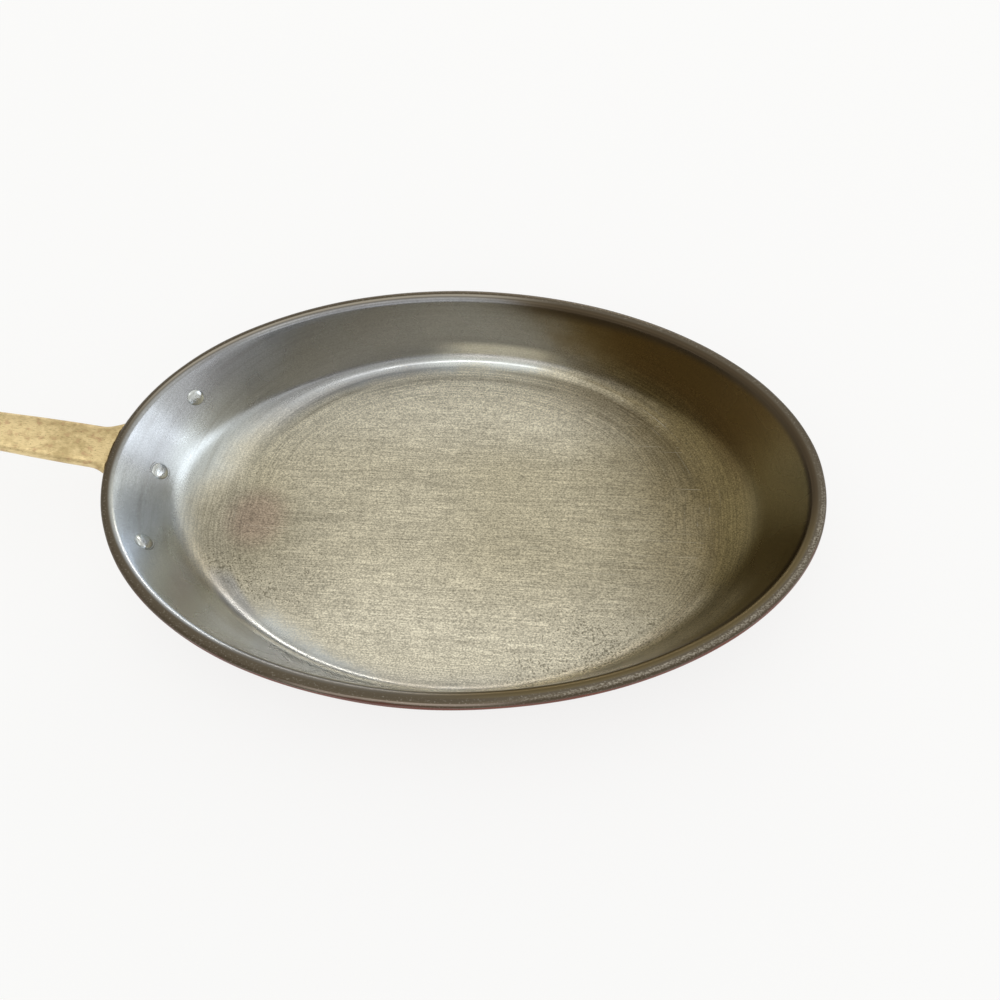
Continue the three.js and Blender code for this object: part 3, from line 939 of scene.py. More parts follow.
# Painted shade at the inner and outer edges of the bead's curve.
PAINTED_BEAD_SHADE = "#4f4435"
# Speckled wear and painted highlights on the bead.
BEAD_WEAR_AND_HIGHLIGHT = "#c9c2b4"
# A painted glint along the outside of the near bead.
PAINTED_BEAD_GLINT = "#ead9cc"
COPPER_BARE = "#65423a"
print("scoured tin, linear:", [round(part, 3) for part in colour(TIN_SCOURED)[:3]])

# %% Patterns that follow the sheet


def arcs(tree, sweep, length, width, detail=2.0, start=0.0):
    """Noise stretched along the rim: length and width of a mark in mm."""
    scale = (1 / length, 1 / length, 1 / width)
    flat = add(tree, "Mapping", {"Vector": sweep, "Location": (start, 0, 0), "Scale": scale})
    return add(tree, "TexNoise", {"Vector": flat, "Scale": 1.0, "Detail": detail})


def strokes(tree, place, length, width, detail=2.0, start=0.0):
    """Noise stretched along the pan's long way: length and width of a mark in mm."""
    scale = (1 / (length * MM), 1 / (width * MM), 1 / (width * MM))
    flat = add(tree, "Mapping", {"Vector": place, "Location": (start, start, 0), "Scale": scale})
    return add(tree, "TexNoise", {"Vector": flat, "Scale": 1.0, "Detail": detail})


def spots(tree, place, size, detail=2.0, start=0.0):
    """Even noise with blotches of that size in mm."""
    moved = add(tree, "Mapping", {"Vector": place, "Location": (start, start, 0)})
    return add(tree, "TexNoise", {"Vector": moved, "Scale": 1 / (size * MM), "Detail": detail})


def coat(tree, below, amount, text):
    """Blends one flat colour over a colour node by a mask."""
    return add(tree, "Mix", {0: amount, 6: below, 7: colour(text)}, data_type="RGBA").outputs[2]


def within(tree, known, limits, top=1.0):
    """A mask that is top where every named value has passed from its start to its end,
    with a smooth rise between, and 0 where any of them hasn't begun."""
    for name, start, end in limits:
        rise = add(tree, "MapRange", {0: known[name], 1: start, 2: end},
                   interpolation_type="SMOOTHSTEP")
        top = add(tree, "Math", {0: rise, 1: top}, operation="MULTIPLY")
    return top


# %% Tin: tables of where it was scoured, heated and worn
# Each limit is a value's name, where the coat begins there and where it is full. The values
# x, y, stain and blush are in metres. Climb, margin, depth and ragged are in mm. The others
# are shares from 0 to 1, or noise about one half.
# The tin is coloured darker towards the far end: a share that grows along this direction, between
# these limits in metres.
FAR_END_WAY = (1.0, 0.35, 0)
FAR_END_LIMITS = (0.050, 0.120)
STAIN_MIDDLE = (-0.099, -0.012, 0.003)
BLUSH_MIDDLE = (-0.085, -0.009, 0.0015)
SCOUR_BASE = -8.0
SCOUR_RISES = [
    (9, [("x", -0.06, -0.105), ("y", -0.06, -0.03)]),
    (11, [("x", -0.06, -0.105), ("y", 0.02, -0.01), ("y", -0.06, -0.03)]),
    (24, [("far_end", 0.0, 1.0)]),
    (6, [("x", -0.035, -0.01), ("y", -0.03, -0.05)]),
    (14, [("x", 0.015, 0.05), ("y", -0.02, -0.05)]),
]
TIN_COATS = [
    (TIN_SCOURED, 1.0, [("scoured", 0.0, 1.0)]),
    # Painted sheen in the next three coats: paler floor on the near side, the far side and the
    # left end, where it catches brighter light.
    (PALE_TIN_AND_SHEEN, 0.85, [("scoured", 0.0, 1.0), ("y", -0.015, -0.06)]),
    (PALE_TIN_AND_SHEEN, 0.9, [("scoured", 0.0, 1.0), ("y", 0.015, 0.045), ("x", 0.09, 0.04)]),
    (PALE_TIN_AND_SHEEN, 0.6, [("scoured", 0.0, 1.0), ("x", -0.085, -0.1)]),
    (PALE_TIN_AND_SHEEN, 0.35, [("scoured", 0.0, 1.0), ("x", 0.02, -0.02), ("stain", 0.02, 0.04)]),
    (TIN_PITTED, 0.22, [("bands", 0.5, 0.75)]),
    (TIN_PITTED, 0.45, [("bands", 0.48, 0.66), ("y", 0.03, 0.05), ("depth", -4.0, 2.0)]),
    (TIN_PITTED, 0.5, [("scoured", 0.0, 1.0), ("stain", 0.028, 0.008)]),
    (TIN_PITTED, 0.3, [("scoured", 0.0, 1.0), ("x", -0.035, -0.07), ("x", -0.11, -0.095),
                       ("y", 0.01, -0.01)]),
    (TIN_PITTED, 0.3, [("scoured", 0.0, 1.0), ("x", 0.025, 0.075), ("y", -0.005, -0.03)]),
    (COPPER_BLUSH, 0.45, [("blush", 0.018, 0.005)]),
    # Painted shade in the next four coats: the smooth far wall, far-left corner, upper left end
    # and near corner are painted duller grey where they show no bright reflection.
    (PAINTED_WALL_SHADE, 0.9, [("y", 0.02, 0.062), ("climb", 5.0, 11.0), ("x", -0.105, -0.05)]),
    (PAINTED_WALL_SHADE, 0.7, [("y", 0.02, 0.05), ("climb", -4.0, 2.0), ("x", -0.005, -0.035)]),
    (PAINTED_WALL_SHADE, 0.6, [("x", -0.085, -0.105), ("climb", 28.0, 38.0), ("y", -0.012, 0.004)]),
    (PAINTED_WALL_SHADE, 0.9, [("y", -0.03, -0.055), ("climb", -6.0, 16.0), ("x", 0.05, 0.01),
                      ("x", -0.09, -0.06)]),
    # Painted reflection: a pale blue patch high on the near-left wall, where it mirrors cool
    # light.
    (PAINTED_WALL_REFLECTION, 0.95, [("x", -0.055, -0.08), ("y", -0.025, -0.04), ("climb", 16.0, 26.0)]),
    # Painted shade on the near-left corner, below the painted reflection.
    (PAINTED_WALL_SHADE, 0.6, [("x", -0.07, -0.08), ("y", -0.03, -0.038), ("climb", 1.0, 4.0),
                      ("climb", 14.0, 10.0)]),
    # Darker olive high on the near-left wall.
    (DARK_OLIVE, 0.35, [("y", -0.05, -0.065), ("climb", 18.0, 34.0), ("x", -0.07, -0.03)]),
    # Painted highlight: a bright streak along the far corner.
    (PAINTED_CORNER_HIGHLIGHT, 0.9, [("y", 0.03, 0.06), ("climb", 4.0, 7.0), ("climb", 16.0, 12.0),
                       ("x", -0.025, 0.0), ("x", 0.045, 0.025)]),
    # Darker olive on the near wall's middle and right.
    (DARK_OLIVE, 0.9, [("y", -0.03, -0.06), ("climb", 10.0, 20.0), ("x", -0.02, 0.035)]),
    # Darker olive, green and brown towards the far end and up its wall.
    (DARK_OLIVE, 0.97, [("far_end", 0.0, 1.0)]),
    (DARK_GREEN_OLIVE, 0.7, [("far_end", 0.4, 0.9), ("climb", 6.0, 14.0)]),
    (DARK_BROWN_TIN, 0.95, [("far_end", 0.3, 1.0), ("climb", 6.0, 24.0), ("y", 0.0, 0.035)]),
    (TIN_SCOURED, 0.5, [("x", 0.06, 0.08), ("y", -0.025, -0.04), ("climb", 5.0, 10.0),
                        ("climb", 38.0, 28.0)]),
]
PIT_FIELDS = [
    [("x", 0.02, 0.04), ("x", 0.11, 0.085), ("y", -0.03, -0.045)],
    [("x", -0.045, -0.06), ("y", -0.015, -0.03)],
]
RIM_COATS = [
    # Painted shade on the bead in this coat and the three after the next: darker at its inner
    # shoulder and inner half towards the far end, and towards its outer edge.
    (PAINTED_BEAD_SHADE, 0.9, [("margin", 5.4, 4.6), ("x", 0.0, 0.05), ("climb", 30.0, 36.0)]),
    (BEAD_BROWN, 1.0, [("margin", 4.7, 3.5)]),
    (PAINTED_BEAD_SHADE, 0.9, [("margin", 3.2, 3.9), ("margin", 6.0, 5.0), ("x", 0.0, 0.05)]),
    (PAINTED_BEAD_SHADE, 0.6, [("margin", 2.6, 1.2)]),
    (PAINTED_BEAD_SHADE, 0.35, [("margin", 3.8, 3.0), ("x", 0.05, 0.0)]),
    # Speckled wear along the crest of the bead.
    (BEAD_WEAR_AND_HIGHLIGHT, 0.3, [("margin", 3.6, 3.0), ("grain", 0.55, 0.75)]),
    # Painted highlight along the crest of the bead on the far side.
    (BEAD_WEAR_AND_HIGHLIGHT, 0.6, [("margin", 3.9, 3.5), ("margin", 2.7, 3.1), ("y", 0.0, 0.04),
                      ("x", 0.04, 0.0)]),
    # Darker olive on the inner half of the bead, near right.
    (DARK_OLIVE, 0.55, [("margin", 2.9, 3.5), ("margin", 4.9, 4.5), ("x", -0.01, 0.04),
                        ("y", 0.0, -0.03)]),
    # Bright speckles on the near-right bead: partly wear, partly painted highlight.
    (BEAD_WEAR_AND_HIGHLIGHT, 0.42, [("margin", 2.8, 2.3), ("margin", 1.4, 1.9), ("x", 0.02, 0.07),
                       ("y", 0.02, -0.02), ("grain", 0.34, 0.64)]),
    # Painted glint: a thin bright line along the outside of the near bead.
    (PAINTED_BEAD_GLINT, 0.35, [("margin", 1.9, 1.7), ("margin", 1.3, 1.5), ("y", -0.03, -0.06),
                       ("x", -0.055, -0.03), ("x", 0.04, 0.015)]),
    (COPPER_BARE, 1.0, [("ragged", 2.3, 1.6)]),
]
print(len(TIN_COATS), "coats on the sheet,", len(RIM_COATS), "on the bead")

# %% Tin: the values that the tables look up


def tin_places(tree, place):
    """The named values that the tables above look up. The share towards the far end, where
    the tin turns darker, grows along the direction given above and up the wall. The scoured
    part ends a few mm down the sheet from the floor's edge, rises where the table says, and
    breaks up into grains at its border."""
    climb = add(tree, "Attribute", attribute_name="climb").outputs["Fac"]
    margin = add(tree, "Attribute", attribute_name="margin").outputs["Fac"]
    parts = add(tree, "SeparateXYZ", {0: place})
    blotches = spots(tree, place, 15, 3)
    grain = strokes(tree, place, 0.7, 0.45, 3, 0.4)
    known = {"x": parts.outputs["X"], "y": parts.outputs["Y"], "climb": climb, "margin": margin,
             "grain": grain, "patches": spots(tree, place, 22, 2, 0.2)}
    toward = add(tree, "VectorMath", {0: place, 1: FAR_END_WAY}, operation="DOT_PRODUCT")
    toward = toward.outputs["Value"]
    raised = add(tree, "Math", {0: climb, 1: 0.0}, operation="MAXIMUM")
    for value, weight in ((raised, 0.0006), (blotches, 0.02)):
        toward = add(tree, "Math", {0: value, 1: weight, 2: toward}, operation="MULTIPLY_ADD")
    start, end = FAR_END_LIMITS
    known["far_end"] = add(tree, "MapRange", {0: toward, 1: start, 2: end})
    reach = add(tree, "Math", {0: blotches, 1: 10.0, 2: SCOUR_BASE}, operation="MULTIPLY_ADD")
    for rise, limits in SCOUR_RISES:
        reach = add(tree, "Math", {0: reach, 1: within(tree, known, limits, rise)})
    reach = add(tree, "Math", {0: grain, 1: 8.0, 2: reach}, operation="MULTIPLY_ADD")
    inside = add(tree, "Math", {0: reach, 1: climb}, operation="SUBTRACT")
    soft = add(tree, "MapRange", {0: known["x"], 1: -0.07, 2: -0.1, 3: -3.0, 4: -7.0})
    hard = add(tree, "MapRange", {0: known["x"], 1: -0.07, 2: -0.1, 3: 7.0, 4: 13.0})
    known["scoured"] = add(tree, "MapRange", {0: inside, 1: soft, 2: hard})
    for name, spot in (("stain", STAIN_MIDDLE), ("blush", BLUSH_MIDDLE)):
        away = add(tree, "VectorMath", {0: place, 1: spot}, operation="DISTANCE")
        known[name] = away.outputs["Value"]
    known["ragged"] = add(tree, "Math", {0: blotches, 1: 2.0, 2: margin}, operation="MULTIPLY_ADD")
    return known


# %% Tin: the finish
TIN_SMOOTH_ROUGH = (0.24, 0.31)
TIN_SCOURED_ROUGH = 0.45
BEAD_MORE_ROUGH = 0.12
FINE_GROOVE = 0.04 * MM


def tin_finish():
    """Blends the coats of the tables in their order. Strokes run along the floor's middle
    and turn into arcs towards the wall. Grain and strokes also make each place a little
    lighter or darker, pits are dark, and the deepest scratches are bright."""
    material, tree = finish("wiped_tin")
    sweep = add(tree, "Attribute", attribute_name="sweep").outputs["Vector"]
    along = add(tree, "Attribute", attribute_name="along").outputs["Vector"]
    place = add(tree, "TexCoord").outputs["Object"]
    known = tin_places(tree, place)
    grain, scoured = known["grain"], known["scoured"]
    known["depth"] = add(tree, "Math", {0: known["y"], 1: 200.0, 2: known["climb"]},
                         operation="MULTIPLY_ADD")
    middle = within(tree, known, [("depth", 0.0, -16.0)])
    round_marks = arcs(tree, sweep, 26, 0.4, 3)
    long_marks = strokes(tree, place, 14, 0.35, 3, 4.0)
    marks = add(tree, "Mix", {0: middle, 2: round_marks, 3: long_marks})
    wide_arcs = arcs(tree, sweep, 42, 2.2, 3, 3.0)
    wide_strokes = strokes(tree, place, 30, 4.0, 4, 7.0)
    known["bands"] = add(tree, "Mix", {0: middle, 2: wide_arcs, 3: wide_strokes})
    known["marks"] = marks

    # The coats, one over the other
    base = colour(TIN_GREY)
    for text, amount, limits in TIN_COATS:
        base = coat(tree, base, within(tree, known, limits, amount), text)

    # Grain and strokes, strong where the tin was scoured and faint where it is smooth
    bright = add(tree, "MapRange", {0: grain, 1: 0.34, 2: 0.66, 3: 0.62, 4: 1.36})
    line = add(tree, "MapRange", {0: marks, 1: 0.36, 2: 0.64, 3: 1.16, 4: 0.8})
    clouds = spots(tree, place, 5, 2, 0.6)
    mottle = add(tree, "MapRange", {0: clouds, 1: 0.35, 2: 0.65, 3: 0.94, 4: 1.05})
    for part in (line, mottle):
        bright = add(tree, "Math", {0: bright, 1: part}, operation="MULTIPLY")
    smooth = add(tree, "MapRange", {0: grain, 1: 0.34, 2: 0.66, 3: 0.86, 4: 1.12})
    faint = add(tree, "MapRange", {0: marks, 1: 0.38, 2: 0.66, 3: 1.03, 4: 0.96})
    smooth = add(tree, "Math", {0: smooth, 1: faint}, operation="MULTIPLY")
    bright = add(tree, "Mix", {0: scoured, 2: smooth, 3: bright})
    base = add(tree, "Mix", {0: 1.0, 6: base, 7: bright}, data_type="RGBA",
               blend_type="MULTIPLY").outputs[2]

    # Pits, bright scratches, and the bead over all of them
    pitting = spots(tree, place, 0.9, 2, 0.9)
    dense = add(tree, "MapRange", {0: known["patches"], 1: 0.42, 2: 0.62, 3: 0.27, 4: 0.35})
    for limits in PIT_FIELDS:
        dense = add(tree, "Math", {0: dense, 1: within(tree, known, limits, 0.1)})
    known["pits"] = add(tree, "Math", {0: dense, 1: pitting}, operation="SUBTRACT")
    pitted = within(tree, known, [("pits", 0.0, 0.05), ("scoured", 0.3, 1.0)], 0.6)
    base = coat(tree, base, pitted, PIT_DARK)
    known["scratches"] = strokes(tree, place, 45, 0.32, 1, 11.0)
    for name, start, end in (("marks", 0.69, 0.74), ("scratches", 0.71, 0.76)):
        scratched = within(tree, known, [(name, start, end), ("climb", 12.0, 2.0)], 0.5)
        base = coat(tree, base, scratched, PALE_TIN_AND_SHEEN)
    for text, amount, limits in RIM_COATS:
        base = coat(tree, base, within(tree, known, limits, amount), text)

    # Gloss, and the grooves that the strokes leave
    rim = within(tree, known, [("margin", 4.9, 4.2)])
    low, high = TIN_SMOOTH_ROUGH
    breath = add(tree, "MapRange", {0: known["patches"], 1: 0.42, 2: 0.6, 3: low, 4: high})
    rough = add(tree, "MapRange", {0: scoured, 3: breath, 4: TIN_SCOURED_ROUGH})
    rough = add(tree, "Math", {0: rim, 1: BEAD_MORE_ROUGH, 2: rough}, operation="MULTIPLY_ADD")
    grooves = add(tree, "Math", {0: grain, 1: 0.5, 2: marks}, operation="MULTIPLY_ADD")
    depth = add(tree, "MapRange", {0: scoured, 3: 0.14, 4: 0.6})
    bump = add(tree, "Bump", {"Strength": depth, "Distance": FINE_GROOVE, "Height": grooves})
    surface = add(tree, "BsdfPrincipled", {
        "Base Color": base, "Metallic": 1.0, "Roughness": rough, "Anisotropic": 0.4,
        "Tangent": along, "Normal": bump,
    })
    add(tree, "OutputMaterial", {"Surface": surface})
    return material


wear(tin_coat, tin_finish())

# %% [markdown]
# ## Aged copper
#
# The outside was never lacquered. Handling and heat turn copper to a deep brown red. Faint
# lines run round it from the stake and the polishing wheel, dark spots gather low down
# where a flame reached, and the base is scratched bright where the pan was pushed about.
# One flat brown would look like paint. Copper shows that it is metal by a tint that stays
# in its highlights, and that it is old by a gloss that changes from place to place.

# %% Copper: the patterns
COPPER_RED = "#a9674d"
COPPER_BROWN = "#74473a"
COPPER_SOOT = "#3f332e"
COPPER_RUBBED = "#cf8f6f"


def copper_finish():
    """Brown over red by broad blotches, soot near the base, and rubbed metal on the part
    of the floor that the pan stands on."""
    material, tree = finish("aged_copper")
    sweep = add(tree, "Attribute", attribute_name="sweep").outputs["Vector"]
    climb = add(tree, "Attribute", attribute_name="climb").outputs["Fac"]
    margin = add(tree, "Attribute", attribute_name="margin").outputs["Fac"]
    along = add(tree, "Attribute", attribute_name="along").outputs["Vector"]
    place = add(tree, "TexCoord").outputs["Object"]
    height = add(tree, "SeparateXYZ", {0: place}).outputs["Z"]
    blotches = spots(tree, place, 24, 4, 0.3)
    fine_lines = arcs(tree, sweep, 50, 0.5, 3, 5.0)
    wheel_lines = arcs(tree, sweep, 120, 2.4, 2, 9.0)
    drips = spots(tree, place, 6, 5, 0.7)
    scuffs = strokes(tree, place, 20, 0.6, 3, 2.0)

    brown = add(tree, "MapRange", {0: blotches, 1: 0.38, 2: 0.66, 3: 0.15, 4: 0.85})
    base = coat(tree, colour(COPPER_RED), brown, COPPER_BROWN)
    line = add(tree, "MapRange", {0: wheel_lines, 1: 0.5, 2: 0.7, 4: 0.35})
    base = coat(tree, base, line, COPPER_BROWN)
    low = add(tree, "MapRange", {0: height, 1: 0.016, 2: 0.0}, interpolation_type="SMOOTHSTEP")
    soot = add(tree, "MapRange", {0: drips, 1: 0.42, 2: 0.62, 4: 0.8})
    soot = add(tree, "Math", {0: soot, 1: low}, operation="MULTIPLY")
    base = coat(tree, base, soot, COPPER_SOOT)
    under = add(tree, "MapRange", {0: margin, 1: 2.4, 2: 4.0, 3: 0.0, 4: 0.5})
    edge_dark = add(tree, "MapRange", {0: margin, 1: 3.0, 2: 1.5, 4: 0.9})
    base = coat(tree, base, edge_dark, COPPER_BROWN)
    flat = add(tree, "MapRange", {0: climb, 1: 1.0, 2: -4.0, 4: 0.8},
               interpolation_type="SMOOTHSTEP")
    scuffed = add(tree, "MapRange", {0: scuffs, 1: 0.45, 2: 0.62})
    scuffed = add(tree, "Math", {0: scuffed, 1: flat}, operation="MULTIPLY")
    base = coat(tree, base, scuffed, COPPER_RUBBED)
    edge = add(tree, "Math", {0: under, 1: line}, operation="MULTIPLY")
    base = coat(tree, base, edge, COPPER_SOOT)

    rough = add(tree, "MapRange", {0: blotches, 1: 0.35, 2: 0.7, 3: 0.28, 4: 0.46})
    rough = add(tree, "Math", {0: soot, 1: 0.2, 2: rough}, operation="MULTIPLY_ADD")
    bump = add(tree, "Bump", {"Strength": 0.4, "Distance": FINE_GROOVE, "Height": fine_lines})
    surface = add(tree, "BsdfPrincipled", {
        "Base Color": base, "Metallic": 1.0, "Roughness": rough, "Anisotropic": 0.4,
        "Tangent": along, "Normal": bump,
    })
    add(tree, "OutputMaterial", {"Surface": surface})
    return material


wear(copper_dish, copper_finish())

# %% [markdown]
# ## Cast brass
#
# Sand leaves a fine pebbled skin on a casting. The handle was filed along its length and
# then dulled in use: a thin olive film lies over pale gold, thinnest where a hand rubs. By
# the pan the film is painted thicker, as painted shade where the bead shades the stem. A few
# pits from the sand stay. The sand's grains are 0.2 mm and finer. The pebbles are drawn
# 0.7 mm wide, so that they show.

# %% Brass: the patterns
BRASS_GOLD = "#f0d9a6"
BRASS_FILM = "#b7a273"
BRASS_PINK = "#cfa083"
BRASS_DARK = "#6f5f3e"
SAND_SKIN = 0.06 * MM


def brass_finish():
    """Film over gold by two sizes of blotches, laid thicker by the pan as painted shade,
    filing strokes along the handle and pits.
    """
    material, tree = finish("cast_brass")
    place = add(tree, "TexCoord").outputs["Object"]
    x = add(tree, "SeparateXYZ", {0: place}).outputs["X"]
    broad = spots(tree, place, 11, 3, 0.1)
    mottle = spots(tree, place, 2.6, 4, 0.5)
    pebble = spots(tree, place, 0.7, 3, 0.8)
    filing = strokes(tree, place, 9, 0.35, 3, 6.0)

    # Painted shade: the film is laid thicker over the stem's root by the pan, where the bead
    # shades it.
    root = add(tree, "MapRange", {0: x, 1: -0.165, 2: -0.135, 4: 0.2},
               interpolation_type="SMOOTHSTEP")
    film_and_shade = add(tree, "Math", {0: broad, 1: mottle}, operation="ADD")
    film_and_shade = add(tree, "MapRange", {0: film_and_shade, 1: 0.86, 2: 1.2, 3: 0.0, 4: 0.6})
    film_and_shade = add(tree, "Math", {0: film_and_shade, 1: root}, operation="ADD", use_clamp=True)
    base = coat(tree, colour(BRASS_GOLD), film_and_shade, BRASS_FILM)
    pink = add(tree, "MapRange", {0: mottle, 1: 0.56, 2: 0.7, 4: 0.45})
    base = coat(tree, base, pink, BRASS_PINK)
    line = add(tree, "MapRange", {0: filing, 1: 0.5, 2: 0.7, 4: 0.35})
    base = coat(tree, base, line, BRASS_DARK)
    pits = add(tree, "MapRange", {0: pebble, 1: 0.33, 2: 0.27, 4: 0.7})
    base = coat(tree, base, pits, BRASS_DARK)

    rough = add(tree, "MapRange", {0: film_and_shade, 3: 0.32, 4: 0.5})
    skin = add(tree, "Math", {0: pebble, 1: filing}, operation="ADD")
    bump = add(tree, "Bump", {"Strength": 0.6, "Distance": SAND_SKIN, "Height": skin})
    surface = add(tree, "BsdfPrincipled", {
        "Base Color": base, "Metallic": 1.0, "Roughness": rough, "Normal": bump,
    })
    add(tree, "OutputMaterial", {"Surface": surface})
    return material


wear(brass_handle, brass_finish())

# %% [markdown]
# ## Rivets and wire
#
# A rivet is copper, but its head was tinned over with the pan, so it shines grey, with a
# dark line of old fat in the groove round it. The tail outside stays copper and shows the
# marks of the hammer. The iron wire can't be seen. It gets its drawn, faintly rusted skin
# all the same.

# %% Rivet finish
HEAD_TIN = "#d2d6d5"
GROOVE_DARK = "#3c3a34"
TAIL_COPPER = "#9b5f49"
TAIL_DARK = "#5e3c32"
HAMMER_SKIN = 0.08 * MM


def rivet_finish():
    """Tin where the place lies inside the pan, copper outside it, and a dark groove."""
    material, tree = finish("tinned_rivet")
    inwards = add(tree, "Attribute", attribute_name="inwards").outputs["Fac"]
    place = add(tree, "TexCoord").outputs["Object"]
    dents = spots(tree, place, 1.6, 2, 0.6)
    grain = spots(tree, place, 0.5, 3, 0.2)
    mottled = add(tree, "MapRange", {0: dents, 1: 0.4, 2: 0.65})
    tail = coat(tree, colour(TAIL_COPPER), mottled, TAIL_DARK)
    inside = add(tree, "MapRange", {0: inwards, 1: -1.0, 2: -0.8})
    base = coat(tree, tail, inside, HEAD_TIN)
    low = add(tree, "MapRange", {0: inwards, 1: 0.26, 2: 0.04})
    high = add(tree, "MapRange", {0: inwards, 1: -0.1, 2: 0.0})
    groove = add(tree, "Math", {0: low, 1: high}, operation="MULTIPLY")
    groove = add(tree, "Math", {0: groove, 1: 0.85}, operation="MULTIPLY")
    base = coat(tree, base, groove, GROOVE_DARK)
    rough = add(tree, "MapRange", {0: grain, 1: 0.3, 2: 0.7, 3: 0.14, 4: 0.28})
    skin = add(tree, "Math", {0: dents, 1: 3.0, 2: grain}, operation="MULTIPLY_ADD")
    bump = add(tree, "Bump", {"Strength": 0.7, "Distance": HAMMER_SKIN, "Height": skin})
    surface = add(tree, "BsdfPrincipled", {
        "Base Color": base, "Metallic": 1.0, "Roughness": rough, "Normal": bump,
    })
    add(tree, "OutputMaterial", {"Surface": surface})
    return material


rivet_metal = rivet_finish()
for piece in rivets:
    wear(piece, rivet_metal)

# %% Wire finish
IRON_SKIN = "#57524e"
IRON_RUST = "#6b4634"


def iron_finish():
    """Dark drawn iron with thin rust in spots."""
    material, tree = finish("iron_wire")
    place = add(tree, "TexCoord").outputs["Object"]
    patches = spots(tree, place, 3, 4)
    rust = add(tree, "MapRange", {0: patches, 1: 0.5, 2: 0.65, 4: 0.8})
    base = coat(tree, colour(IRON_SKIN), rust, IRON_RUST)
    rough = add(tree, "MapRange", {0: rust, 3: 0.45, 4: 0.8})
    surface = add(tree, "BsdfPrincipled", {
        "Base Color": base, "Metallic": 1.0, "Roughness": rough,
    })
    add(tree, "OutputMaterial", {"Surface": surface})
    return material


rim_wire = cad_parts["rim_wire"]
wear(rim_wire, iron_finish())

# %% [markdown]
# ## Floor and light
#
# The pan stands on a plain white floor in a pale round room, as on a photographer's table.
# The room is white at the height of the pan, a little greyer above it and almost white
# overhead, so that metal has something to show from every side, and a colour comes out
# about as it is written. The floor glows for the camera and in reflections, which makes it
# white, and keeps a share of plain matt white that takes the soft shadow.

# %% White floor
FLOOR_HALF = 4.0
FLOOR_WHITE = "#f4f4f2"
SHADOW_SHARE = 0.22
SHADOW_REACH = (0.4, 2.0)


def floor_finish():
    """Glow for camera, glossy and transmission rays, mixed with matt white. The matt share
    falls to nothing far from the pan, where the floor meets the room's own white."""
    material, tree = finish("matt_white_floor")
    path = add(tree, "LightPath")
    direct = path.outputs["Is Camera Ray"]
    for ray in ("Is Glossy Ray", "Is Transmission Ray"):
        direct = add(tree, "Math", {0: direct, 1: path.outputs[ray]}, operation="MAXIMUM")
    place = add(tree, "TexCoord").outputs["Object"]
    away = add(tree, "VectorMath", {0: place}, operation="LENGTH").outputs["Value"]
    near, far = SHADOW_REACH
    share = add(tree, "MapRange", {0: away, 1: near, 2: far, 3: 1 - SHADOW_SHARE, 4: 1.0},
                interpolation_type="SMOOTHSTEP")
    share = add(tree, "Math", {0: share, 1: direct}, operation="MULTIPLY")
    matt = add(tree, "BsdfDiffuse", {"Color": colour(FLOOR_WHITE)})
    glow = add(tree, "Emission", {"Color": (1, 1, 1, 1), "Strength": 1.0})
    both = add(tree, "MixShader", {0: share, 1: matt, 2: glow})
    add(tree, "OutputMaterial", {"Surface": both})
    return material


def studio_floor():
    """One square on the plane that the pan rests on."""
    mesh = bpy.data.meshes.new("studio_floor")
    corners = [(-1, -1, 0), (1, -1, 0), (1, 1, 0), (-1, 1, 0)]
    mesh.from_pydata((np.array(corners) * FLOOR_HALF).tolist(), [], [(0, 1, 2, 3)])
    made = bpy.data.objects.new("studio_floor", mesh)
    bpy.context.scene.collection.objects.link(made)
    wear(made, floor_finish())
    return made


floor = studio_floor()
print("floor", 2 * FLOOR_HALF, "m wide")

# %% Pale room
ROOM_LEVEL = "#ffffff"
ROOM_RAISED = "#d2d0ca"
ROOM_OVERHEAD = "#fbfaf6"

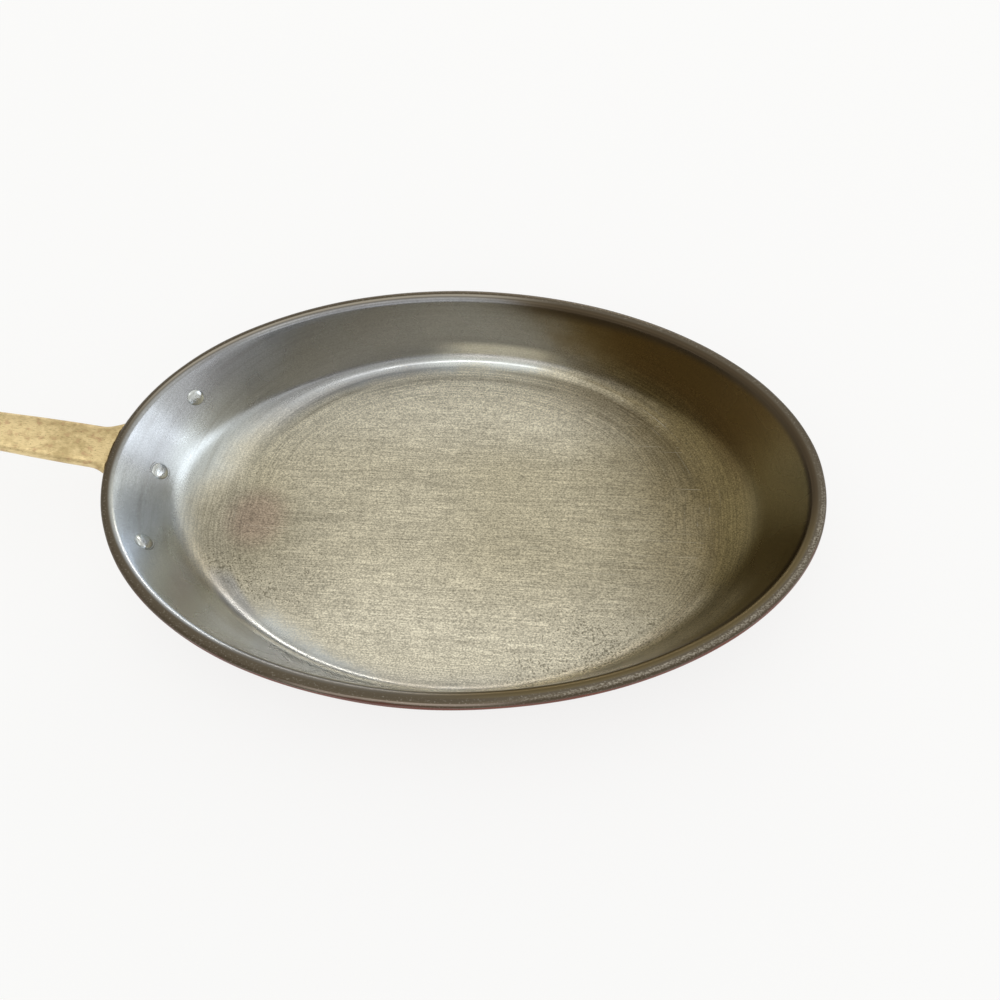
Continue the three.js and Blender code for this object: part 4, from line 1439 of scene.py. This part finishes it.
world = bpy.data.worlds.new("pale_room")
bpy.context.scene.world = world
world.use_nodes = True
tree = world.node_tree
tree.nodes.clear()
toward = add(tree, "TexCoord").outputs["Generated"]
height = add(tree, "SeparateXYZ", {0: toward}).outputs["Z"]
raised = add(tree, "MapRange", {0: height, 1: 0.05, 2: 0.5}, interpolation_type="SMOOTHSTEP")
overhead = add(tree, "MapRange", {0: height, 1: 0.55, 2: 0.95}, interpolation_type="SMOOTHSTEP")
tone = coat(tree, colour(ROOM_LEVEL), raised, ROOM_RAISED)
tone = coat(tree, tone, overhead, ROOM_OVERHEAD)
sky = add(tree, "Background", {"Color": tone, "Strength": 1.0})
add(tree, "OutputWorld", {"Surface": sky})
print("room:", ROOM_LEVEL, ROOM_RAISED, ROOM_OVERHEAD)

# %% [markdown]
# Three soft lamps shape the metal: a low cool window beyond the far end, a long narrow
# lamp behind the pan, which draws the bright line along the near corner, and a small one
# near the camera. Their brightness is set as radiance, in which the room's white is 1, and
# the power follows from the lamp's area.

# %% Soft lamps
LAMP_AIM = Vector((0, 0, 0.02))


def softbox(name, azimuth, elevation, distance, width, height, radiance, text):
    """A rectangle that faces the pan. Its power is pi times area times radiance."""
    data = bpy.data.lights.new(name, "AREA")
    data.shape = "RECTANGLE"
    data.size = width
    data.size_y = height
    data.energy = math.pi * width * height * radiance
    data.color = colour(text)[:3]
    made = bpy.data.objects.new(name, data)
    bpy.context.scene.collection.objects.link(made)
    turn, rise = math.radians(azimuth), math.radians(elevation)
    level = math.cos(rise)
    toward = Vector((math.sin(turn) * level, -math.cos(turn) * level, math.sin(rise)))
    made.location = LAMP_AIM + toward * distance
    made.rotation_mode = "QUATERNION"
    made.rotation_quaternion = toward.to_track_quat("Z", "Y")
    made.visible_camera = False
    print(f"{name}: {data.energy:.2f} W")
    return made


softbox("window", 92, 15, 1.2, 0.7, 0.4, 1.6, "#e2eaf8")
softbox("long_lamp", 178, 18, 1.2, 0.8, 0.07, 9.0, "#fff6ea")
softbox("small_lamp", 347, 65, 1.2, 0.35, 0.1, 5.5, "#ffffff")

bpy.context.scene.view_settings.view_transform = "Standard"
